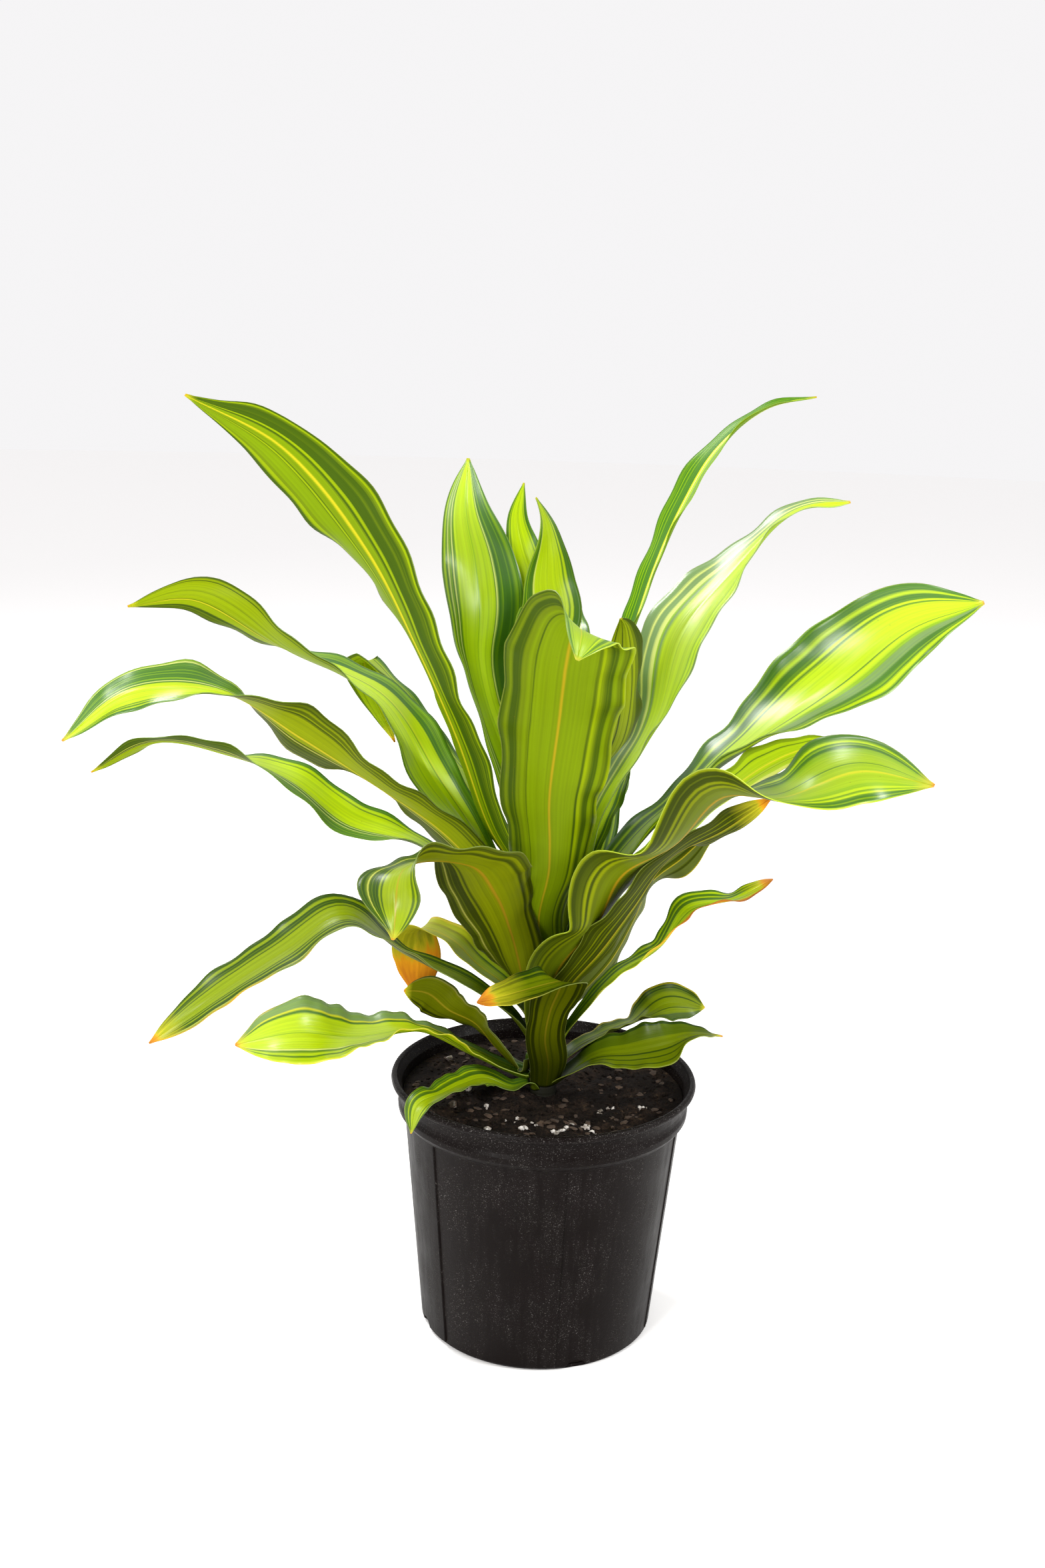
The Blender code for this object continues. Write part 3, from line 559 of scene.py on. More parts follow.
def build_pot(settings):
    """Fine shell of the pot with its seams and drain slots, in place of the plain one."""
    bm = turned(pot_profile(), settings.sides)
    round_rings(bm, settings.ring_round / MM)
    mat = pot_plastic((*settings.colour, 1.0), settings.roughness)
    pot = new_piece("pot_shell", bm, [mat], "pot")
    cut_drains(pot)
    bm = bmesh.new()
    bm.from_mesh(pot.data)
    for angle in SEAM_ANGLES:
        add_seam(bm, angle, settings.seam_width / MM, settings.seam_proud / MM)
    add_seam(
        bm, FINE_SEAM_ANGLE, settings.seam_width * FINE_SEAM_WIDTH / MM,
        settings.seam_proud * FINE_SEAM_PROUD / MM)
    bm.to_mesh(pot.data)
    bm.free()
    pot.data.shade_smooth()
    pot.data.set_sharp_from_angle(angle=math.radians(32.0))
    return pot


def mix_height(x, y):
    """Height of the potting mix in mm: the solid's lumps, with clods and crumbs on them."""
    r = math.hypot(x, y)
    lumps = math.sin(x * 0.115 + 1.3) * math.cos(y * 0.098 - 0.6) + 0.6 * math.sin(x * 0.21 - y * 0.17)
    fade = min(1.0, max(0.0, (r - CLEARING) / 20.0)) * min(1.0, max(0.0, (124.0 - r) / 10.0))
    clods = noise.fractal(Vector((x * 0.07, y * 0.07, 0.4)), 0.7, 2.0, 4)
    crumbs = noise.fractal(Vector((x * 0.33, y * 0.33, 5.2)), 0.6, 2.1, 3)
    rise = SOIL_RELIEF * lumps * fade + 1.5 * math.exp(-(r / 45.0) ** 2) * fade
    return SOIL_Z + rise + (1.5 * clods + 0.9 * crumbs) * min(1.0, max(0.2, (127.0 - r) / 5.0))


def mix_peat(dark, light):
    """Potting mix of peat and bark fines, damp and unpressed: matt, crumbly, brown to nearly black."""
    mat, tree, shader = new_material("peat_potting_mix", IOR=1.40, Specular_IOR_Level=0.15)
    place = add_node(tree, "ShaderNodeTexCoord").outputs["Object"]
    # Crumbs of 2 to 4 mm, and fibres and sand grains under 1 mm
    crumb = add_node(
        tree, "ShaderNodeTexNoise", {"Vector": place, "Scale": 260.0, "Detail": 6.0, "Roughness": 0.72})
    patch = add_node(
        tree, "ShaderNodeTexNoise", {"Vector": place, "Scale": 34.0, "Detail": 4.0, "Roughness": 0.6})
    sand = add_node(tree, "ShaderNodeTexVoronoi", {"Vector": place, "Scale": 480.0, "Randomness": 1.0})
    tone = add_node(tree, "ShaderNodeMath", {0: crumb, 1: patch}, operation='MULTIPLY')
    ramp = add_node(tree, "ShaderNodeValToRGB", {"Fac": tone})
    set_ramp(
        ramp.color_ramp,
        [(0.12, blended(dark, (0.0, 0.0, 0.0, 1.0), 0.5)), (0.24, dark), (0.36, light),
         (0.52, blended(light, linear("A08560"), 0.45))])
    grain = add_node(
        tree, "ShaderNodeMapRange",
        {"Value": sand, "From Min": 0.16, "From Max": 0.06, "To Min": 0.0, "To Max": 0.55})
    speckled = add_node(
        tree, "ShaderNodeMix", {"Factor": grain, 6: ramp, 7: linear("55483A")}, data_type='RGBA')
    rough = add_node(tree, "ShaderNodeMapRange", {"Value": crumb, "To Min": 0.80, "To Max": 1.0})
    bump = add_node(tree, "ShaderNodeBump", {"Height": crumb, "Strength": 0.9, "Distance": 0.0018})
    connect(shader, Base_Color=speckled.outputs[2], Roughness=rough, Normal=bump)
    return mat


def scattered(rng, reach_in, reach_out, front):
    """Random place on the mix in mm; front is the share of places kept to the front and right."""
    while True:
        r = math.sqrt(rng.uniform(reach_in ** 2, reach_out ** 2))
        a = rng.uniform(0.0, math.tau)
        if rng.random() < front:
            a = math.radians(rng.gauss(290.0, 42.0))
            r = rng.uniform(0.55, 0.97) * reach_out
        x, y = r * math.cos(a), r * math.sin(a)
        if math.hypot(x, y) > reach_in:
            return x, y


def lay_bits(bm, rng, count, size, flatness, reach, front, sink, group):
    """Lay rough lumps, in groups, on the mix: sizes in mm, flatness as the share of their height."""
    x, y = 0.0, 0.0
    for k in range(count):
        if k % group == 0:
            x, y = scattered(rng, CLEARING, reach, front)
        else:
            x += rng.uniform(-1.0, 1.0) * size[1] * 0.5
            y += rng.uniform(-1.0, 1.0) * size[1] * 0.5
        radius = rng.uniform(*size) / 2
        lump = bmesh.ops.create_icosphere(bm, subdivisions=1, radius=1.0)["verts"]
        for v in lump:
            v.co *= rng.uniform(0.66, 1.22)
        shape = Matrix.Diagonal(
            (radius, radius * rng.uniform(0.45, 0.95), radius * rng.uniform(*flatness), 1.0))
        turn = Matrix.Rotation(
            rng.uniform(0, math.tau), 4, 'Z') @ Matrix.Rotation(rng.gauss(0, 0.35), 4, 'X')
        move = Matrix.Translation((x, y, mix_height(x, y) + radius * sink))
        bmesh.ops.transform(bm, matrix=Matrix.Scale(MM, 4) @ move @ turn @ shape, verts=lump)


def bark_wood(dark, light):
    """Composted pine bark, chipped and stained by peat: dull brown plates with a fibrous grain."""
    mat, tree, shader = new_material("composted_pine_bark", Roughness=0.85, IOR=1.45)
    place = add_node(tree, "ShaderNodeTexCoord").outputs["Object"]
    tone = add_node(
        tree, "ShaderNodeTexNoise", {"Vector": place, "Scale": 120.0, "Detail": 4.0, "Roughness": 0.7})
    ramp = add_node(tree, "ShaderNodeValToRGB", {"Fac": tone})
    set_ramp(ramp.color_ramp, [(0.30, dark), (0.66, light)])
    bump = add_node(tree, "ShaderNodeBump", {"Height": tone, "Strength": 0.6, "Distance": 0.0008})
    connect(shader, Base_Color=ramp, Normal=bump)
    return mat


def perlite():
    """Perlite, volcanic glass popped by heat: chalky white foam, stained beige by the peat."""
    mat, tree, shader = new_material("expanded_perlite", Roughness=0.9, IOR=1.50)
    place = add_node(tree, "ShaderNodeTexCoord").outputs["Object"]
    # Popped cells of about 0.5 mm, drawn at 1 mm so that they show
    cells = add_node(tree, "ShaderNodeTexVoronoi", {"Vector": place, "Scale": 900.0})
    stain = add_node(tree, "ShaderNodeTexNoise", {"Vector": place, "Scale": 140.0, "Detail": 3.0})
    ramp = add_node(tree, "ShaderNodeValToRGB", {"Fac": stain})
    set_ramp(
        ramp.color_ramp, [(0.34, linear("5E564C")), (0.48, linear("9C948C")), (0.64, linear("CFCAC4"))])
    bump = add_node(tree, "ShaderNodeBump", {"Height": cells, "Strength": 0.8, "Distance": 0.0006})
    connect(shader, Base_Color=ramp, Normal=bump)
    return mat


def build_mix(settings):
    """Potting mix with a crumbly top, and the crumbs, bark chips and perlite that lie on it."""
    dark, light = (*settings.dark, 1.0), (*settings.light, 1.0)
    hole = STEM_RADIUS + GAP
    edge = WALL_TOP_RADIUS + 2.4 - 2 * GAP
    rings = [hole + (edge - hole) * (k / settings.rings) for k in range(settings.rings + 1)]
    profile = [(0.0, STEM_FOOT_Z - GAP), (hole, STEM_FOOT_Z - GAP)] + [(r, SOIL_Z) for r in rings]
    profile += [
        (edge, WALL_TOP_Z + 18.0), (WALL_TOP_RADIUS - WALL - 2 * GAP, WALL_TOP_Z),
        (BASE_RADIUS - WALL - 2 * GAP, 6.0), (BASE_RADIUS - WALL - 3.0, 2.4 + GAP), (0.0, 2.4 + GAP),
    ]
    bm = turned(profile, settings.sides)
    for v in bm.verts:
        x, y, z = v.co / MM
        if abs(z - SOIL_Z) < 0.01:
            v.co.z = mix_height(x, y) * MM
    bm.normal_update()
    peat = mix_peat(dark, light)
    new_piece("potting_mix", bm, [peat], "soil", 60)
    # Name, material, count, size in mm, flatness, reach in mm, share in front, depth, group, smooth angle
    bits = (
        ("mix_crumbs", peat, settings.crumbs, (1.6, 5.0), (0.5, 0.9), 124.0, 0.15, 0.10, 1, 70),
        ("bark_chips", bark_wood(linear("1E150F"), linear("463527")), settings.chips, (4.0, 11.0),
         (0.16, 0.34), 122.0, 0.25, 0.12, 1, None),
        ("perlite_grains", perlite(), settings.perlite, (2.0, 6.5), (0.6, 0.95), 120.0, 0.75, 0.20, 4, 80),
    )
    rng = random.Random(41)
    for name, mat, count, size, flatness, reach, front, sink, group, angle in bits:
        bm = bmesh.new()
        lay_bits(bm, rng, count, size, flatness, reach, front, sink, group)
        new_piece(name, bm, [mat], None, angle)


def cane_radius(z):
    """Radius of the cane at height z, with the shallow scars that fallen leaves leave round it."""
    smooth = STEM_RADIUS + (STEM_TOP_RADIUS - STEM_RADIUS) * max(0.0, z - SOIL_Z) / (STEM_TOP_Z - SOIL_Z)
    scar = max(0.0, math.cos((z - SOIL_Z) * math.tau / 9.0)) ** 8
    return smooth - 0.15 - 0.55 * scar


def cane_bark(young, old):
    """Young dracaena bark, green above and corky below: thin, ringed by leaf scars, satin to dull."""
    mat, tree, shader = new_material("green_cane_bark", Roughness=0.62, IOR=1.45, Specular_IOR_Level=0.25)
    place = add_node(tree, "ShaderNodeTexCoord").outputs["Object"]
    lie = add_node(tree, "ShaderNodeMapping", {"Vector": place, "Scale": (160.0, 160.0, 40.0)})
    fibre = add_node(tree, "ShaderNodeTexNoise", {"Vector": lie, "Scale": 1.0, "Detail": 4.0})
    split = add_node(tree, "ShaderNodeSeparateXYZ", {"Vector": place})
    level = add_node(
        tree, "ShaderNodeMapRange", {"Value": split.outputs["Z"], "From Min": 0.215, "From Max": 0.33})
    wander = add_node(tree, "ShaderNodeMath", {0: fibre, 1: 0.6, 2: level}, operation='MULTIPLY_ADD')
    ramp = add_node(tree, "ShaderNodeValToRGB", {"Fac": wander})
    set_ramp(ramp.color_ramp, [(0.25, blended(old, (0.0, 0.0, 0.0, 1.0), 0.4)), (0.55, old), (1.0, young)])
    bump = add_node(tree, "ShaderNodeBump", {"Height": fibre, "Strength": 0.6, "Distance": 0.0006})
    connect(shader, Base_Color=ramp, Normal=bump)
    return mat


def build_cane(settings):
    """Cane with its leaf scars, rounded at the growing tip."""
    levels = np.linspace(SOIL_Z - 6.0, STEM_TOP_Z - 4.0, settings.levels)
    profile = [(0.0, STEM_FOOT_Z), (STEM_RADIUS - 1.0, STEM_FOOT_Z), (STEM_RADIUS, STEM_FOOT_Z + 3.0)]
    profile += [(cane_radius(z), float(z)) for z in levels]
    end = cane_radius(STEM_TOP_Z - 4.0)
    profile += [(end * 0.92, STEM_TOP_Z - 2.4), (end * 0.66, STEM_TOP_Z - 0.9), (0.0, STEM_TOP_Z)]
    bark = cane_bark((*settings.young, 1.0), (*settings.old, 1.0))
    return new_piece("cane", turned(profile, 64), [bark], "stem", 60)


def rib_curve(points):
    """Centripetal Catmull-Rom curve through the rib's points, sampled evenly along its length."""
    p = np.array(points, float)
    p = np.vstack([2 * p[0] - p[1], p, 2 * p[-1] - p[-2]])
    pieces = []
    for i in range(1, len(p) - 2):
        a, b, c, d = p[i - 1:i + 3]
        t1 = math.sqrt(max(np.linalg.norm(b - a), 1e-6))
        t2 = t1 + math.sqrt(max(np.linalg.norm(c - b), 1e-6))
        t3 = t2 + math.sqrt(max(np.linalg.norm(d - c), 1e-6))
        t = np.linspace(t1, t2, 24, endpoint=False)[:, None]
        ab = (t1 - t) / t1 * a + t / t1 * b
        bc = (t2 - t) / (t2 - t1) * b + (t - t1) / (t2 - t1) * c
        cd = (t3 - t) / (t3 - t2) * c + (t - t2) / (t3 - t2) * d
        abc = (t2 - t) / t2 * ab + t / t2 * bc
        bcd = (t3 - t) / (t3 - t1) * bc + (t - t1) / (t3 - t1) * cd
        pieces.append((t2 - t) / (t2 - t1) * abc + (t - t1) / (t2 - t1) * bcd)
    pieces.append(p[-2][None])
    curve = np.vstack(pieces)
    run = np.concatenate([[0.0], np.cumsum(np.linalg.norm(np.diff(curve, axis=0), axis=1))])
    even = np.linspace(0.0, run[-1], BLADE_STEPS + 1)
    return np.stack([np.interp(even, run, curve[:, k]) for k in range(3)], 1), run[-1]


def carried_frame(path, across):
    """Unit tangents, and the across direction carried along the path without turning."""
    tangent = np.gradient(path, axis=0)
    tangent /= np.linalg.norm(tangent, axis=1)[:, None]
    carried = np.zeros_like(path)
    a = across - tangent[0] * np.dot(across, tangent[0])
    carried[0] = a / np.linalg.norm(a)
    for i in range(1, len(path)):
        axis = np.cross(tangent[i - 1], tangent[i])
        a = carried[i - 1]
        turn = np.cross(axis, a)
        a = a + turn + np.cross(axis, turn) / (1.0 + np.dot(tangent[i - 1], tangent[i]))
        a = a - tangent[i] * np.dot(a, tangent[i])
        carried[i] = a / np.linalg.norm(a)
    return tangent, carried


def half_width(s, width, widest, bluntness):
    """Narrow at the sheath, widest past the middle, drawn to a sharp or a blunt end."""
    rise = BLADE_BASE_WIDTH + (1 - BLADE_BASE_WIDTH) * np.sin(np.clip(s / widest, 0, 1) * np.pi / 2) ** 1.5
    q = np.clip((s - widest) / (1 - widest), 0, 1)
    return width / 2 * np.maximum(rise * (1 - q ** bluntness) ** 0.9, 0.03)


def blade_surface(azimuth, height, width, end, stations, rows, columns, ripple, waves, spread, seed):
    """Fine points of a blade's middle surface in mm, and how far along the blade each row lies."""
    a = math.radians(azimuth)
    seat = STEM_RADIUS + (STEM_TOP_RADIUS - STEM_RADIUS) * (height - SOIL_Z) / (STEM_TOP_Z - SOIL_Z) + SEAT
    rib = np.array([(seat * math.cos(a), seat * math.sin(a), height)] + [s[:3] for s in stations])
    turns = [0.0] + [s[3] for s in stations]
    path, length = rib_curve(rib)
    tangent, carried = carried_frame(path, np.array([math.sin(a), -math.cos(a), 0.0]))
    s = np.linspace(0.0, 1.0, BLADE_STEPS + 1)
    at = np.array([np.argmin(np.linalg.norm(path - p, axis=1)) for p in rib]) / BLADE_STEPS
    turn = np.radians(np.interp(s, at + np.arange(len(at)) * 1e-6, turns))
    for _ in range(BLADE_SMOOTHING):
        turn[1:-1] = turn[1:-1] / 2 + (turn[:-2] + turn[2:]) / 4
    across = carried * np.cos(turn)[:, None] + np.cross(tangent, carried) * np.sin(turn)[:, None]
    normal = np.cross(across, tangent)
    bend = np.linalg.norm(np.gradient(tangent, axis=0), axis=1) * BLADE_STEPS / length
    weight = np.concatenate([[0.0], np.cumsum(1 + FOLD_LENGTH * (bend[1:] + bend[:-1]) / 2)])
    q = np.interp(np.linspace(0.0, weight[-1], rows + 1), weight, s)

    def at_rows(values):
        return np.stack([np.interp(q, s, values[:, k]) for k in range(3)], 1)

    centre, across, normal = at_rows(path), at_rows(across), at_rows(normal)
    across /= np.linalg.norm(across, axis=1)[:, None]
    normal /= np.linalg.norm(normal, axis=1)[:, None]
    half = (half_width(q, width, *end) * (1.0 + spread * (1.0 - eased(q, 0.0, SHEATH_END))))[:, None]
    cup = BLADE_CUP + (CLASP - BLADE_CUP) * (1.0 - eased(q, 0.02, CLASP_END))[:, None]
    rng = random.Random(seed)
    swell = eased(q, 0.14, 0.45) * (1.0 - eased(q, 0.90, 1.0))
    phases = [rng.uniform(0.0, math.tau) for _ in range(4)]
    lines = []
    for v in columns:
        side = 0 if v < 0 else 2
        beat = np.sin(math.tau * waves * q + phases[side])
        beat += 0.6 * np.sin(math.tau * waves * 2.3 * q + phases[side + 1])
        lift = ripple * abs(v) ** 2.5 * swell * beat
        lift -= 0.55 * math.exp(-(v / 0.05) ** 2) * eased(q, 0.05, 0.2)
        sway = 0.4 * ripple * v ** 3 * swell * np.cos(math.tau * waves * 1.4 * q + phases[side])
        lines.append(
            centre + across * (half * v + sway[:, None]) + normal * (half * cup * v * v + lift[:, None]))
    return np.stack(lines, 1), q, length


def blade_paint(q, v, tip, left, right):
    """Dry and yellow shares of a blade's tissue at one row and column."""
    edge = left if v < 0 else right
    margin = edge * 1.6 * eased(abs(v), 0.75 - edge * 0.5, 1.0) * eased(q, 0.25, 0.85)
    end = min(0.66, 0.45 + 3.0 * tip) * eased(q, 1.0 - tip, 1.0 - tip * 0.1 + 0.004)
    yellow = max(eased(q, 1.0 - tip * 2.2, 1.0), 0.8 * edge * eased(abs(v), 0.3, 1.0) * eased(q, 0.2, 0.8))
    return min(1.0, max(end, margin)), min(1.0, yellow)


def blade_columns(count):
    """Places across a blade from -1 to 1, closer together at the rib."""
    t = np.linspace(-1.0, 1.0, count + 1)
    return np.sign(t) * np.abs(t) ** 1.25


def leaf_tissue(name, bands, palette, roughness, shine, light_through):
    """Leaf cuticle over striped tissue, grown, not made: waxy, ribbed lengthwise, lit from behind too."""
    mat, tree, shader = new_material(name, IOR=1.45, Specular_IOR_Level=shine)
    uv = add_node(tree, "ShaderNodeUVMap", uv_map="blade")
    across = add_node(tree, "ShaderNodeSeparateXYZ", {"Vector": uv})
    wear = add_node(tree, "ShaderNodeAttribute", attribute_name="blade_paint", attribute_type='GEOMETRY')
    shares = add_node(tree, "ShaderNodeSeparateColor", {"Color": wear})
    fields = []
    for wide, long, detail, rough in TISSUE_NOISE:
        lie = add_node(tree, "ShaderNodeMapping", {"Vector": uv, "Scale": (wide, long, 1.0)})
        field = add_node(
            tree, "ShaderNodeTexNoise", {"Vector": lie, "Scale": 1.0, "Detail": detail, "Roughness": rough})
        fields.append(field)
    vein, rib, wander, cloud, fleck = fields

    # Bands wander across the blade and fray along the veins
    shift = add_node(tree, "ShaderNodeMath", {0: wander, 1: 0.020, 2: -0.022}, operation='MULTIPLY_ADD')
    fray = add_node(tree, "ShaderNodeMath", {0: vein, 1: 0.032, 2: shift}, operation='MULTIPLY_ADD')
    place = add_node(tree, "ShaderNodeMath", {0: across, 1: fray}, operation='ADD')
    stripes = add_node(tree, "ShaderNodeValToRGB", {"Fac": place})
    set_ramp(stripes.color_ramp, band_stops(bands, palette))

    # Mid green streaks run through the bands, dark on lime and pale on dark green
    line = add_node(tree, "ShaderNodeMapRange", {"Value": rib, "From Min": 0.50, "From Max": 0.64})
    strength = add_node(
        tree, "ShaderNodeMath", {0: line, 1: stripes.outputs["Alpha"]}, operation='MULTIPLY')
    streaked = add_node(
        tree, "ShaderNodeMix", {"Factor": strength, 6: stripes, 7: palette["M"]}, data_type='RGBA')
    streak = add_node(
        tree, "ShaderNodeMapRange",
        {"Value": vein, "From Min": 0.34, "From Max": 0.66, "To Min": 0.90, "To Max": 1.07})
    veined = add_node(
        tree, "ShaderNodeMix", {"Factor": 1.0, 6: streaked.outputs[2], 7: streak}, data_type='RGBA',
        blend_type='MULTIPLY')

    # Shares of the layers: dark sheath, partly painted shade, then a hairline of bare, pale tissue along
    # each margin
    dark_sheath_and_shade = add_node(tree, "ShaderNodeMath", {0: shares.outputs["Red"], 1: 0.85}, operation='MULTIPLY')
    centred = add_node(tree, "ShaderNodeMath", {0: across, 1: 0.5}, operation='SUBTRACT')
    reach = add_node(tree, "ShaderNodeMath", {0: centred}, operation='ABSOLUTE')
    hem = add_node(
        tree, "ShaderNodeMapRange", {"Value": reach, "From Min": 0.488, "From Max": 0.497, "To Max": 0.2})

    # Tissue yellows in cloudy patches before it dries to orange and brown, and rust-coloured flecks mark it
    fade = add_node(tree, "ShaderNodeMath", {0: shares.outputs["Blue"], 1: cloud}, operation='MULTIPLY')
    fading = add_node(
        tree, "ShaderNodeMapRange", {"Value": fade, "From Min": 0.08, "From Max": 0.5, "To Max": 0.85})
    rag = add_node(tree, "ShaderNodeMath", {0: cloud, 1: 0.55, 2: -0.275}, operation='MULTIPLY_ADD')
    rag = add_node(tree, "ShaderNodeMath", {0: rag, 1: shares.outputs["Green"]}, operation='ADD')
    dried = add_node(tree, "ShaderNodeValToRGB", {"Fac": rag})
    set_ramp(
        dried.color_ramp,
        [(0.25, linear("D2BC28")), (0.45, linear("D8981E")), (0.68, linear("BC721C")),
         (0.95, linear("5E3A20"))])
    grip = add_node(tree, "ShaderNodeMapRange", {"Value": rag, "From Min": 0.22, "From Max": 0.40})
    scuff = add_node(
        tree, "ShaderNodeMapRange", {"Value": fleck, "From Min": 0.785, "From Max": 0.82, "To Max": 0.6})
    layers = (
        (dark_sheath_and_shade, palette["D"]),
        (hem, linear("D4DC6A")),
        (fading, linear("CEC62A")),
        (grip, dried),
        (scuff, linear("75521F")),
    )
    colour = veined.outputs[2]
    for share, tone in layers:
        layer = add_node(tree, "ShaderNodeMix", {"Factor": share, 6: colour, 7: tone}, data_type='RGBA')
        colour = layer.outputs[2]

    gloss = add_node(
        tree, "ShaderNodeMapRange",
        {"Value": vein, "From Min": 0.3, "From Max": 0.7, "To Min": roughness - 0.04,
         "To Max": roughness + 0.06})
    dull = add_node(tree, "ShaderNodeMath", {0: grip, 1: 0.32, 2: gloss}, operation='MULTIPLY_ADD')
    fine = add_node(
        tree, "ShaderNodeBump", {"Height": vein, "Strength": 0.5, "Distance": VEIN_RELIEF * 0.4})
    broad = add_node(
        tree, "ShaderNodeBump", {"Height": rib, "Strength": 0.7, "Distance": VEIN_RELIEF, "Normal": fine})
    crisp = add_node(
        tree, "ShaderNodeBump", {"Height": rag, "Strength": 0.35, "Distance": 0.0008, "Normal": broad})
    connect(shader, Base_Color=colour, Roughness=dull, Normal=crisp)

    through = add_node(tree, "ShaderNodeBsdfTranslucent", {"Color": colour, "Normal": broad})
    both = add_node(tree, "ShaderNodeMixShader", {0: light_through, 1: shader, 2: through})
    tree.links.new(both.outputs[0], tree.nodes["Material Output"].inputs["Surface"])
    return mat


def band_stops(bands, palette):
    """Ramp stops for the bands of a blade, their edges soft over about 2% of the width."""
    parts = [(item[0], float(item[1:])) for item in bands.split()]
    total = sum(share for _, share in parts)
    stops = []
    at = 0.0
    for kind, share in parts:
        soft = min(0.011, 0.36 * share / total)
        if stops:
            stops[-1] = (at - min(soft, stops[-1][0]), stops[-1][1])
            stops.append((at + soft, palette[kind]))
        else:
            stops.append((0.0, palette[kind]))
        stops.append((soft, palette[kind]))
        at += share / total
    stops[-1] = (1.0, stops[-1][1])
    return stops


def face_palette(fresh, olive_and_shade, share):
    """Palette between a face's fresh and olive colours, with the streaks' strength as its alpha; a share
    past 1 darkens the colours further as painted shade.
    """
    palette = {}
    for kind in fresh:
        colour = blended(linear(fresh[kind]), linear(olive_and_shade[kind]), min(share, 1.0))
        # Past a share of 1 the colour darkens as painted shade
        palette[kind] = (*[c * min(1.0, 2.0 - share) for c in colour[:3]], STREAKS[kind])
    return palette


def build_blade(row, number, settings):
    """One leaf: a fine grid laid on the solid's own surface, thickened alike on both faces."""
    name, azimuth, height, width, age, bands, wear, stations = row
    olive_and_shade, olive_and_shade_under, tip, left, right, ripple, waves = wear
    columns = blade_columns(settings.columns)
    end = FULL_ENDS.get(name, (BLADE_WIDEST, BLADE_BLUNTNESS))
    points, q, length = blade_surface(
        azimuth, height, width, end, stations, settings.rows, columns, ripple * settings.ripple, waves,
        BROAD_SHEATHS.get(name, SHEATH), number)
    shade, reach = HIGH_SHEATH_TONE_AND_SHADE if height > HIGH_SEAT else LOW_SHEATH_TONE_AND_SHADE
    bm = bmesh.new()
    bmesh.ops.create_grid(bm, x_segments=settings.columns, y_segments=settings.rows, size=1.0)
    uv = bm.loops.layers.uv.new("blade")
    paint = bm.verts.layers.float_color.new("blade_paint")
    where = {}
    for v in bm.verts:
        j = round((v.co.x + 1.0) / 2.0 * settings.columns)
        i = round((v.co.y + 1.0) / 2.0 * settings.rows)
        where[v] = ((columns[j] + 1.0) / 2.0, number * PATTERN_STEP + q[i] * length / PATTERN_LENGTH)
        dry, yellow = blade_paint(q[i], columns[j], tip, left, right)
        # Red: the sheath's dark tissue near the cane, partly painted shade; green: dry share; blue: yellow
        # share
        v[paint] = (shade * (1.0 - eased(q[i], 0.02, reach)), dry, yellow, 1.0)
        v.co = Vector(points[i, j]) * MM
    for face in bm.faces:
        for loop in face.loops:
            loop[uv].uv = where[loop.vert]
    # Each face's olive share is partly painted shade on the lower blades, and past 1 it is painted shade
    # alone
    upper = face_palette(UPPER, UPPER_OLIVE_AND_SHADE, olive_and_shade)
    under = face_palette(UNDER, UNDER_OLIVE_AND_SHADE, olive_and_shade_under)
    shine = settings.shine * (1.0 - 0.5 * olive_and_shade) * DULL_LEAVES.get(name, 1.0)
    top = leaf_tissue(
        f"waxy_upper_cuticle.{name}", bands, upper, settings.gloss, shine, settings.light_through)
    back = leaf_tissue(
        f"matt_lower_cuticle.{name}", bands, under, settings.gloss + 0.12, shine * 0.10,
        settings.light_through)
    leaf = new_piece(
        name.replace("leaf", "blade", 1), bm, [top, back],
        name)
    leaf.data.shade_smooth()
    mod = leaf.modifiers.new("Thickness", 'SOLIDIFY')
    mod.thickness = settings.thickness
    mod.offset = 0.0
    mod.use_even_offset = False
    mod.material_offset = 1
    return leaf


def floor_paint(colour):
    """Painted plaster board, rolled matt: a plain pale ground with a faint stipple."""
    mat, tree, shader = new_material("matt_floor_paint", Roughness=0.85, Base_Color=colour)
    place = add_node(tree, "ShaderNodeTexCoord").outputs["Object"]
    stipple = add_node(tree, "ShaderNodeTexNoise", {"Vector": place, "Scale": 300.0, "Detail": 2.0})
    bump = add_node(tree, "ShaderNodeBump", {"Height": stipple, "Strength": 0.1, "Distance": 0.0005})
    connect(shader, Normal=bump)
    return mat


def add_lamp(name, place, target, size, power, colour):
    """Square soft light that looks at a point."""
    lamp = bpy.data.lights.new(name, 'AREA')
    lamp.shape = 'SQUARE'
    lamp.size = size
    lamp.energy = power
    lamp.color = colour
    item = add_object(name, lamp)
    aim = (Vector(target) - Vector(place)).to_track_quat('-Z', 'Y')
    item.matrix_world = Matrix.Translation(place) @ aim.to_matrix().to_4x4()


def add_camera():
    """Camera at the viewing point, with its pitch, turn and roll."""
    pitch, yaw, roll = math.radians(VIEW_PITCH), math.radians(VIEW_YAW), math.radians(VIEW_ROLL)
    forward = Vector((math.sin(yaw) * math.cos(pitch), math.cos(yaw) * math.cos(pitch), -math.sin(pitch)))
    right = Vector((math.cos(yaw), -math.sin(yaw), 0.0))
    down = forward.cross(right)
    level = right * math.cos(roll) + down * math.sin(roll)
    upright = right * math.sin(roll) - down * math.cos(roll)
    view = bpy.data.cameras.new("camera")
    view.lens = VIEW_LENS
    view.sensor_width = VIEW_SENSOR
    view.clip_start = 0.05
    camera = add_object("camera", view)
    turn = Matrix((level, upright, -forward)).transposed()
    camera.matrix_world = Matrix.Translation(VIEW_POINT) @ turn.to_4x4()
    bpy.context.scene.camera = camera


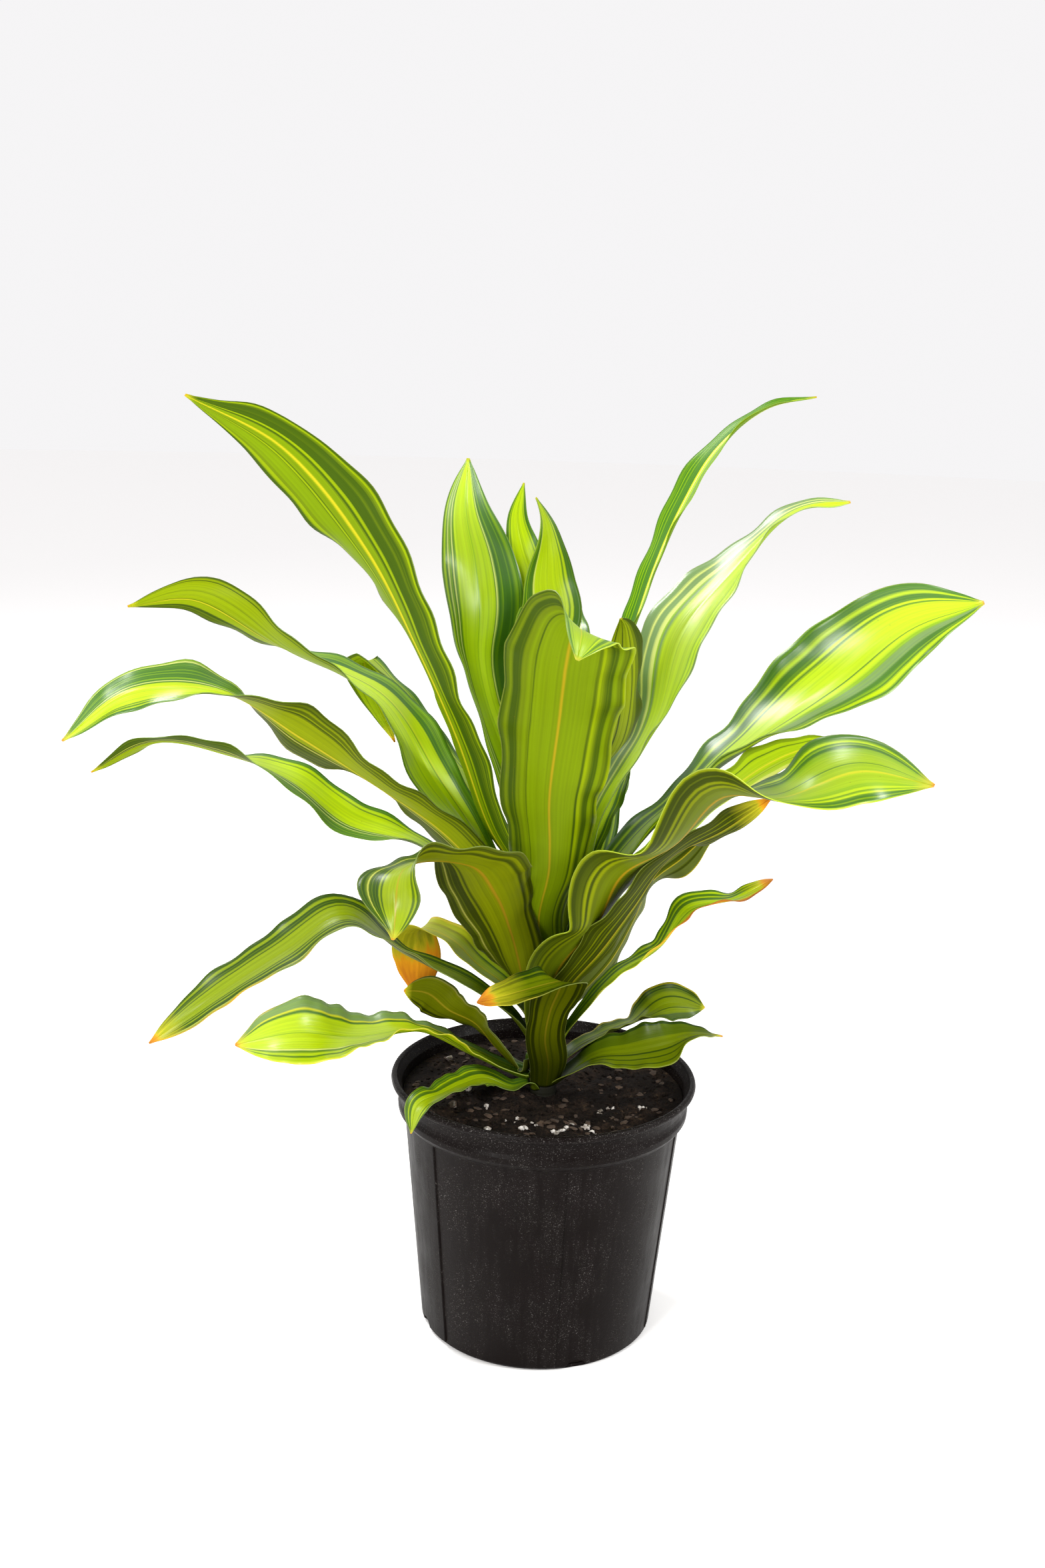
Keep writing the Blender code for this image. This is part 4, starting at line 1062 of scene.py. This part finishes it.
def build_stage(settings):
    """Pale floor, pale surroundings, and soft lamps on the left, on the right and overhead."""
    scene = bpy.context.scene
    bm = bmesh.new()
    bmesh.ops.create_circle(bm, cap_ends=True, segments=96, radius=settings.floor_radius)
    floor = add_object("floor", add_mesh("floor", bm))
    floor.data.materials.append(floor_paint((*settings.floor, 1.0)))
    world = bpy.data.worlds.new("pale_surroundings")
    world.use_nodes = True
    sky = world.node_tree.nodes["Background"]
    sky.inputs["Color"].default_value = (*settings.surroundings, 1.0)
    sky.inputs["Strength"].default_value = settings.surroundings_strength
    scene.world = world
    add_lamp(
        "left_light", (-1.45, -2.35, 1.35), (0.0, 0.0, 0.6), 0.7, settings.key_power, (1.0, 0.99, 0.97))
    add_lamp("right_light", (2.6, -1.0, 1.75), (0.0, 0.0, 0.6), 0.9, settings.fill_power, (1.0, 1.0, 0.99))
    add_lamp("top_light", (-1.5, 1.25, 2.65), (0.0, 0.0, 0.6), 0.9, settings.top_power, (1.0, 1.0, 1.0))
    scene.view_settings.view_transform = 'Standard'
    add_camera()


class DracaenaPotSettings(bpy.types.PropertyGroup):
    """Sizes and colour of the pot."""

    sides: IntProperty(name="Sides", description="Facets round the pot", default=192, min=48, max=384)
    ring_round: FloatProperty(
        name="Ring rounding", description="Rounding of the lip's and bead's corners", default=0.0005,
        min=0.0001, max=0.002, unit='LENGTH')
    seam_width: FloatProperty(
        name="Seam width", description="Width of a parting seam", default=0.0014, min=0.0005, max=0.004,
        unit='LENGTH')
    seam_proud: FloatProperty(
        name="Seam height", description="How far a seam stands out of the wall", default=0.0009, min=0.0,
        max=0.002, unit='LENGTH')
    colour: FloatVectorProperty(
        name="Colour", description="Colour of the plastic", subtype='COLOR', size=3, min=0.0, max=1.0,
        default=linear("0C0706")[:3])
    roughness: FloatProperty(
        name="Roughness", description="Roughness of the clean plastic", default=0.40, min=0.1, max=1.0,
        subtype='FACTOR')


class DracaenaMixSettings(bpy.types.PropertyGroup):
    """Amounts and colours of the potting mix."""

    sides: IntProperty(name="Sides", description="Facets round the mix", default=220, min=48, max=360)
    rings: IntProperty(name="Rings", description="Rings of the mix's top", default=64, min=8, max=120)
    crumbs: IntProperty(name="Crumbs", description="Loose crumbs of peat", default=1100, min=0, max=3000)
    chips: IntProperty(name="Bark chips", description="Loose chips of bark", default=150, min=0, max=600)
    perlite: IntProperty(name="Perlite", description="Grains of perlite", default=110, min=0, max=300)
    dark: FloatVectorProperty(
        name="Damp colour", description="Colour of the damp peat", subtype='COLOR', size=3, min=0.0,
        max=1.0, default=linear("140E0A")[:3])
    light: FloatVectorProperty(
        name="Dry colour", description="Colour of the drier crumbs", subtype='COLOR', size=3, min=0.0,
        max=1.0, default=linear("2C2119")[:3])


class DracaenaCaneSettings(bpy.types.PropertyGroup):
    """Detail and colours of the cane."""

    levels: IntProperty(name="Levels", description="Rings of the cane's mesh", default=180, min=20, max=400)
    young: FloatVectorProperty(
        name="Young bark", description="Colour of the green bark", subtype='COLOR', size=3, min=0.0,
        max=1.0, default=linear("262E0E")[:3])
    old: FloatVectorProperty(
        name="Old bark", description="Colour of the corky bark", subtype='COLOR', size=3, min=0.0, max=1.0,
        default=linear("17170C")[:3])


class DracaenaLeafSettings(bpy.types.PropertyGroup):
    """Sizes and finish of the leaves."""

    rows: IntProperty(name="Rows", description="Steps along a blade", default=96, min=16, max=160)
    columns: IntProperty(name="Columns", description="Steps across a blade", default=24, min=4, max=40)
    thickness: FloatProperty(
        name="Thickness", description="Thickness of a blade", default=0.0007, min=0.0003, max=0.002,
        unit='LENGTH')
    ripple: FloatProperty(
        name="Ripple", description="How strongly the margins ripple", default=1.0, min=0.0, max=3.0,
        subtype='FACTOR')
    gloss: FloatProperty(
        name="Roughness", description="Roughness of the upper cuticle", default=0.33, min=0.05, max=1.0,
        subtype='FACTOR')
    shine: FloatProperty(
        name="Shine", description="Specular level of the upper cuticle", default=0.9, min=0.0, max=1.0,
        subtype='FACTOR')
    light_through: FloatProperty(
        name="Light through", description="Share of light that passes a blade", default=0.28, min=0.0,
        max=1.0, subtype='FACTOR')


class DracaenaStageSettings(bpy.types.PropertyGroup):
    """Floor, surroundings and lamps."""

    floor: FloatVectorProperty(
        name="Floor", description="Colour of the floor", subtype='COLOR', size=3, min=0.0, max=1.0,
        default=linear("FEFDFC")[:3])
    floor_radius: FloatProperty(
        name="Floor radius", description="Reach of the floor", default=12.0, min=1.0, max=50.0,
        unit='LENGTH')
    surroundings: FloatVectorProperty(
        name="Surroundings", description="Colour of the surroundings", subtype='COLOR', size=3, min=0.0,
        max=1.0, default=linear("F9F8F9")[:3])
    surroundings_strength: FloatProperty(
        name="Surroundings' light", description="Strength of the surroundings", default=0.97, min=0.0,
        max=5.0)
    key_power: FloatProperty(
        name="Left light", description="Power of the lamp on the left", default=60.0, min=0.0, max=1000.0,
        unit='POWER')
    top_power: FloatProperty(
        name="Top light", description="Power of the lamp overhead", default=68.0, min=0.0, max=1000.0,
        unit='POWER')
    fill_power: FloatProperty(
        name="Right light", description="Power of the lamp on the right", default=76.0, min=0.0, max=1000.0,
        unit='POWER')


class DRACAENA_OT_pot(bpy.types.Operator):
    """Build the moulded pot."""

    bl_idname = "dracaena.pot"
    bl_label = "Pot"

    def execute(self, context):
        build_pot(context.scene.dracaena_pot)
        return {'FINISHED'}


class DRACAENA_OT_mix(bpy.types.Operator):
    """Build the potting mix and the bits that lie on it."""

    bl_idname = "dracaena.mix"
    bl_label = "Potting mix"

    def execute(self, context):
        build_mix(context.scene.dracaena_mix)
        return {'FINISHED'}


class DRACAENA_OT_cane(bpy.types.Operator):
    """Build the cane."""

    bl_idname = "dracaena.cane"
    bl_label = "Cane"

    def execute(self, context):
        build_cane(context.scene.dracaena_cane)
        return {'FINISHED'}


class DRACAENA_OT_leaves(bpy.types.Operator):
    """Build every striped leaf."""

    bl_idname = "dracaena.leaves"
    bl_label = "Leaves"

    def execute(self, context):
        for number, row in enumerate(LEAVES):
            build_blade(row, number + 1, context.scene.dracaena_leaf)
        return {'FINISHED'}


class DRACAENA_OT_stage(bpy.types.Operator):
    """Build the floor, the lamps and the camera."""

    bl_idname = "dracaena.stage"
    bl_label = "Stage"

    def execute(self, context):
        build_stage(context.scene.dracaena_stage)
        return {'FINISHED'}


class DRACAENA_PT_sidebar(bpy.types.Panel):
    """Lists the plant's pieces and their settings."""

    bl_idname = "DRACAENA_PT_sidebar"
    bl_label = "Potted dracaena"
    bl_space_type = 'VIEW_3D'
    bl_region_type = 'UI'
    bl_category = "Dracaena"

    def draw(self, context):
        for kind, operator in SECTIONS:
            box = self.layout.box()
            settings = getattr(context.scene, kind)
            for key in settings.bl_rna.properties.keys():
                if key not in ("rna_type", "name"):
                    box.prop(settings, key)
            box.operator(operator)


SECTIONS = (
    ("dracaena_stage", "dracaena.stage"),
    ("dracaena_pot", "dracaena.pot"),
    ("dracaena_mix", "dracaena.mix"),
    ("dracaena_cane", "dracaena.cane"),
    ("dracaena_leaf", "dracaena.leaves"),
)

SETTINGS = {
    "dracaena_pot": DracaenaPotSettings,
    "dracaena_mix": DracaenaMixSettings,
    "dracaena_cane": DracaenaCaneSettings,
    "dracaena_leaf": DracaenaLeafSettings,
    "dracaena_stage": DracaenaStageSettings,
}

CLASSES = (
    *SETTINGS.values(),
    DRACAENA_OT_pot,
    DRACAENA_OT_mix,
    DRACAENA_OT_cane,
    DRACAENA_OT_leaves,
    DRACAENA_OT_stage,
    DRACAENA_PT_sidebar,
)


def register():
    for item in CLASSES:
        bpy.utils.register_class(item)
    for kind, group in SETTINGS.items():
        setattr(bpy.types.Scene, kind, PointerProperty(type=group))


def unregister():
    for kind in SETTINGS:
        delattr(bpy.types.Scene, kind)
    for item in reversed(CLASSES):
        bpy.utils.unregister_class(item)


def main():
    """Build every piece in turn."""
    register()
    bpy.ops.dracaena.stage()
    bpy.ops.dracaena.pot()
    bpy.ops.dracaena.mix()
    bpy.ops.dracaena.cane()
    bpy.ops.dracaena.leaves()


if __name__ == "__main__":
    main()
